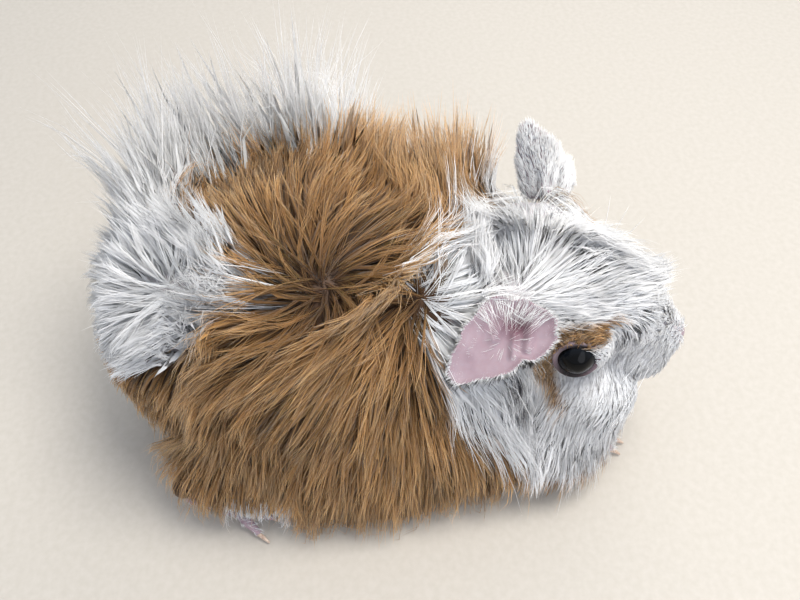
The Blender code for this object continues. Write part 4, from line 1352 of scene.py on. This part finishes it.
# Living skin: matt and a little see-through, so its edges glow pink, with pores and paler blotches.
COVERED, TANNED, PINK, PALER = "#b5b1b5", "#4a3423", "#8f7680", "#aa9aa2"
# Mauve of the ear's hollow: partly the skin's own tone, partly painted shade.
MAUVE, LID_GREY = "#6a4754", "#161416"
skin_material, tree, shader = new_material("living_skin")
place = add_node(tree, "TexCoord", "Object")
blotch = add_node(tree, "TexNoise", "Fac", {"Vector": place, "Scale": 1 / (BLOTCH * MM), "Detail": 3.0})
pink = add_node(tree, "Mix", 2, {0: blotch, 6: colour(PINK), 7: colour(PALER)}, data_type="RGBA")
base = colour(COVERED)
for name, tint in (
    ("ginger", colour(TANNED)), ("bare", pink), ("hollow_shade", colour(MAUVE)), ("lid", colour(LID_GREY))
):
    share = add_node(tree, "Attribute", "Fac", attribute_name=name)
    base = add_node(tree, "Mix", 2, {0: share, 6: base, 7: tint}, data_type="RGBA")
pores = add_node(tree, "TexNoise", "Fac", {"Vector": place, "Scale": 1 / (PORE * MM), "Detail": 2.0})
pores = {"Height": pores, "Strength": 0.25, "Distance": 0.1 * MM}
looks = {
    "Base Color": base,
    "Normal": add_node(tree, "Bump", "Normal", pores),
    "Subsurface Weight": 0.12,
    "Subsurface Radius": (1.0, 0.35, 0.25),
    "Subsurface Scale": 1.2 * MM,
    "Roughness": 0.5,
    "Specular IOR Level": 0.22,
}
set_inputs(tree, shader, looks)
skin_nodes = [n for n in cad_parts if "claw" not in n and not n.startswith("eye")]
finish_piece(skin, skin_material, "pink_skin", *skin_nodes)
bpy.data.objects.remove(lie)

# ---- Eyes ----
# Dark wet globes with a wide pupil in a slightly paler blue-black ring, under a raised clear
# cornea. Each sits deep in its socket behind the lids. The wet film is a thin clear coat, which
# gives the one sharp highlight.
CORNEA_RISE, CORNEA_EDGE = 0.45, 46
IRIS = ((0.0, "#050506"), (0.36, "#060607"), (0.42, "#0a0b0e"), (0.55, "#0f1218"), (0.6, "#060608"))
eye_material, tree, shader = new_material("wet_eye")
ring = add_node(tree, "Attribute", "Fac", attribute_name="ring")
looks = {
    "Base Color": add_node(tree, "ValToRGB", "Color", {"Fac": ring}, IRIS),
    "Roughness": 0.12,
    "Specular IOR Level": 0.05,
    "Coat Weight": 0.35,
    "Coat Roughness": 0.02,
    "Coat IOR": 1.34,
}
set_inputs(tree, shader, looks)
for side in EYE_AXES:
    centre, axis = eye_ways(side)
    bpy.ops.object.select_all(action="DESELECT")
    bpy.ops.mesh.primitive_uv_sphere_add(segments=64, ring_count=40, radius=1)
    eye = bpy.context.object
    eye.name = "globe_" + side
    points = unit(points_of(eye))
    points = points @ np.array(Vector(axis).to_track_quat("Z", "Y").to_matrix()).T
    angle = np.degrees(np.arccos(np.clip(points @ axis, -1, 1)))
    size = EYE_RADIUS - 0.35 + CORNEA_RISE * (1 - ease(angle, 8, CORNEA_EDGE))
    move_points(eye, (centre + points * size[:, None]) * MM)
    set_values(eye.data, {"ring": angle / 90})
    eye.data.shade_smooth()
    finish_piece(eye, eye_material, "eye", "eye_" + side)

# ---- Claws ----
# Thin curved horn, clear and pale at the tip and pinker where the quick shows, grown out of each
# toe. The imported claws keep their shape; faint streaks and a soft gloss make them horn.
# Horn: streaks along it, drawn coarser than real ones so that they show.
HORN_STREAK, HORN = 0.6, ((0.3, "#a98d7c"), (0.7, "#d8c6b4"))
claw_material, tree, shader = new_material("claw_horn")
place = add_node(tree, "TexCoord", "Object")
streak = {"Vector": place, "Scale": 1 / (HORN_STREAK * MM), "Detail": 1.0}
streak = add_node(tree, "TexNoise", "Fac", streak)
horn = add_node(tree, "ValToRGB", "Color", {"Fac": streak}, HORN)
set_inputs(tree, shader, {"Base Color": horn, "Roughness": 0.3})
for name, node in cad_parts.items():
    if "claw" in name:
        node.data.materials.clear()
        node.data.materials.append(claw_material)

# ---- Floor, light and camera ----
# A plain pale floor of matte paper with a faint grain, one broad lamp overhead, a softer one on
# each side, and an even sky. The camera looks down on the animal's right side.
FLOOR_SIZE, FLOOR_GRAIN, PAPER = 12.0, 2.0, ((0.3, "#b9b4ab"), (0.7, "#bfbab2"))
bpy.ops.object.select_all(action="DESELECT")
bpy.ops.mesh.primitive_plane_add(size=FLOOR_SIZE)
floor = bpy.context.object
floor.name = "floor"
floor_material, tree, shader = new_material("matte_paper")
place = add_node(tree, "TexCoord", "Object")
grain = {"Vector": place, "Scale": 1 / (FLOOR_GRAIN * MM), "Detail": 2.0}
grain = add_node(tree, "TexNoise", "Fac", grain)
paper = add_node(tree, "ValToRGB", "Color", {"Fac": grain}, PAPER)
set_inputs(tree, shader, {"Base Color": paper, "Roughness": 0.85})
floor.data.materials.append(floor_material)

scene = bpy.context.scene
scene.view_settings.view_transform = "Standard"
world = bpy.data.worlds.new("even_sky")
world.use_nodes = True
sky = {"Color": colour("#e4e9f2"), "Strength": 0.85}
set_inputs(world.node_tree, world.node_tree.nodes["Background"], sky)
scene.world = world
LAMPS = (  # place, size, power and colour
    ((-0.06, -0.2, 0.66), 0.34, 4.5, "#fffaf2"),
    ((-0.5, -0.22, 0.36), 0.5, 1.2, "#f2f5ff"),
    ((0.5, -0.2, 0.4), 0.5, 1.0, "#fff6ec"),
)


def set_up(name, data, place, way):
    """A lamp or the camera, put in its place and turned to look along a way."""
    holder = add_object(name, data)
    holder.location = place
    holder.rotation_euler = way.to_track_quat("-Z", "Y").to_euler()
    return holder


for place, size, power, tint in LAMPS:
    lamp = bpy.data.lights.new("soft_lamp", "AREA")
    lamp.shape, lamp.size, lamp.energy, lamp.color = "DISK", size, power, colour(tint)[:3]
    set_up("soft_lamp", lamp, place, Vector((0, 0, 0.04)) - Vector(place))

CAMERA_AIM, CAMERA_FAR, CAMERA_LENS = Vector((-3.0, -6.1, 45.0)) * MM, 0.230, 40
CAMERA_ROUND, CAMERA_ABOVE = math.radians(264), math.radians(50)
level = math.cos(CAMERA_ABOVE)
back = Vector((math.sin(CAMERA_ROUND) * level, -math.cos(CAMERA_ROUND) * level, math.sin(CAMERA_ABOVE)))
camera = bpy.data.cameras.new("camera")
camera.lens, camera.sensor_width, camera.clip_start = CAMERA_LENS, 36, 0.01
scene.camera = set_up("camera", camera, CAMERA_AIM + back * CAMERA_FAR, -back)
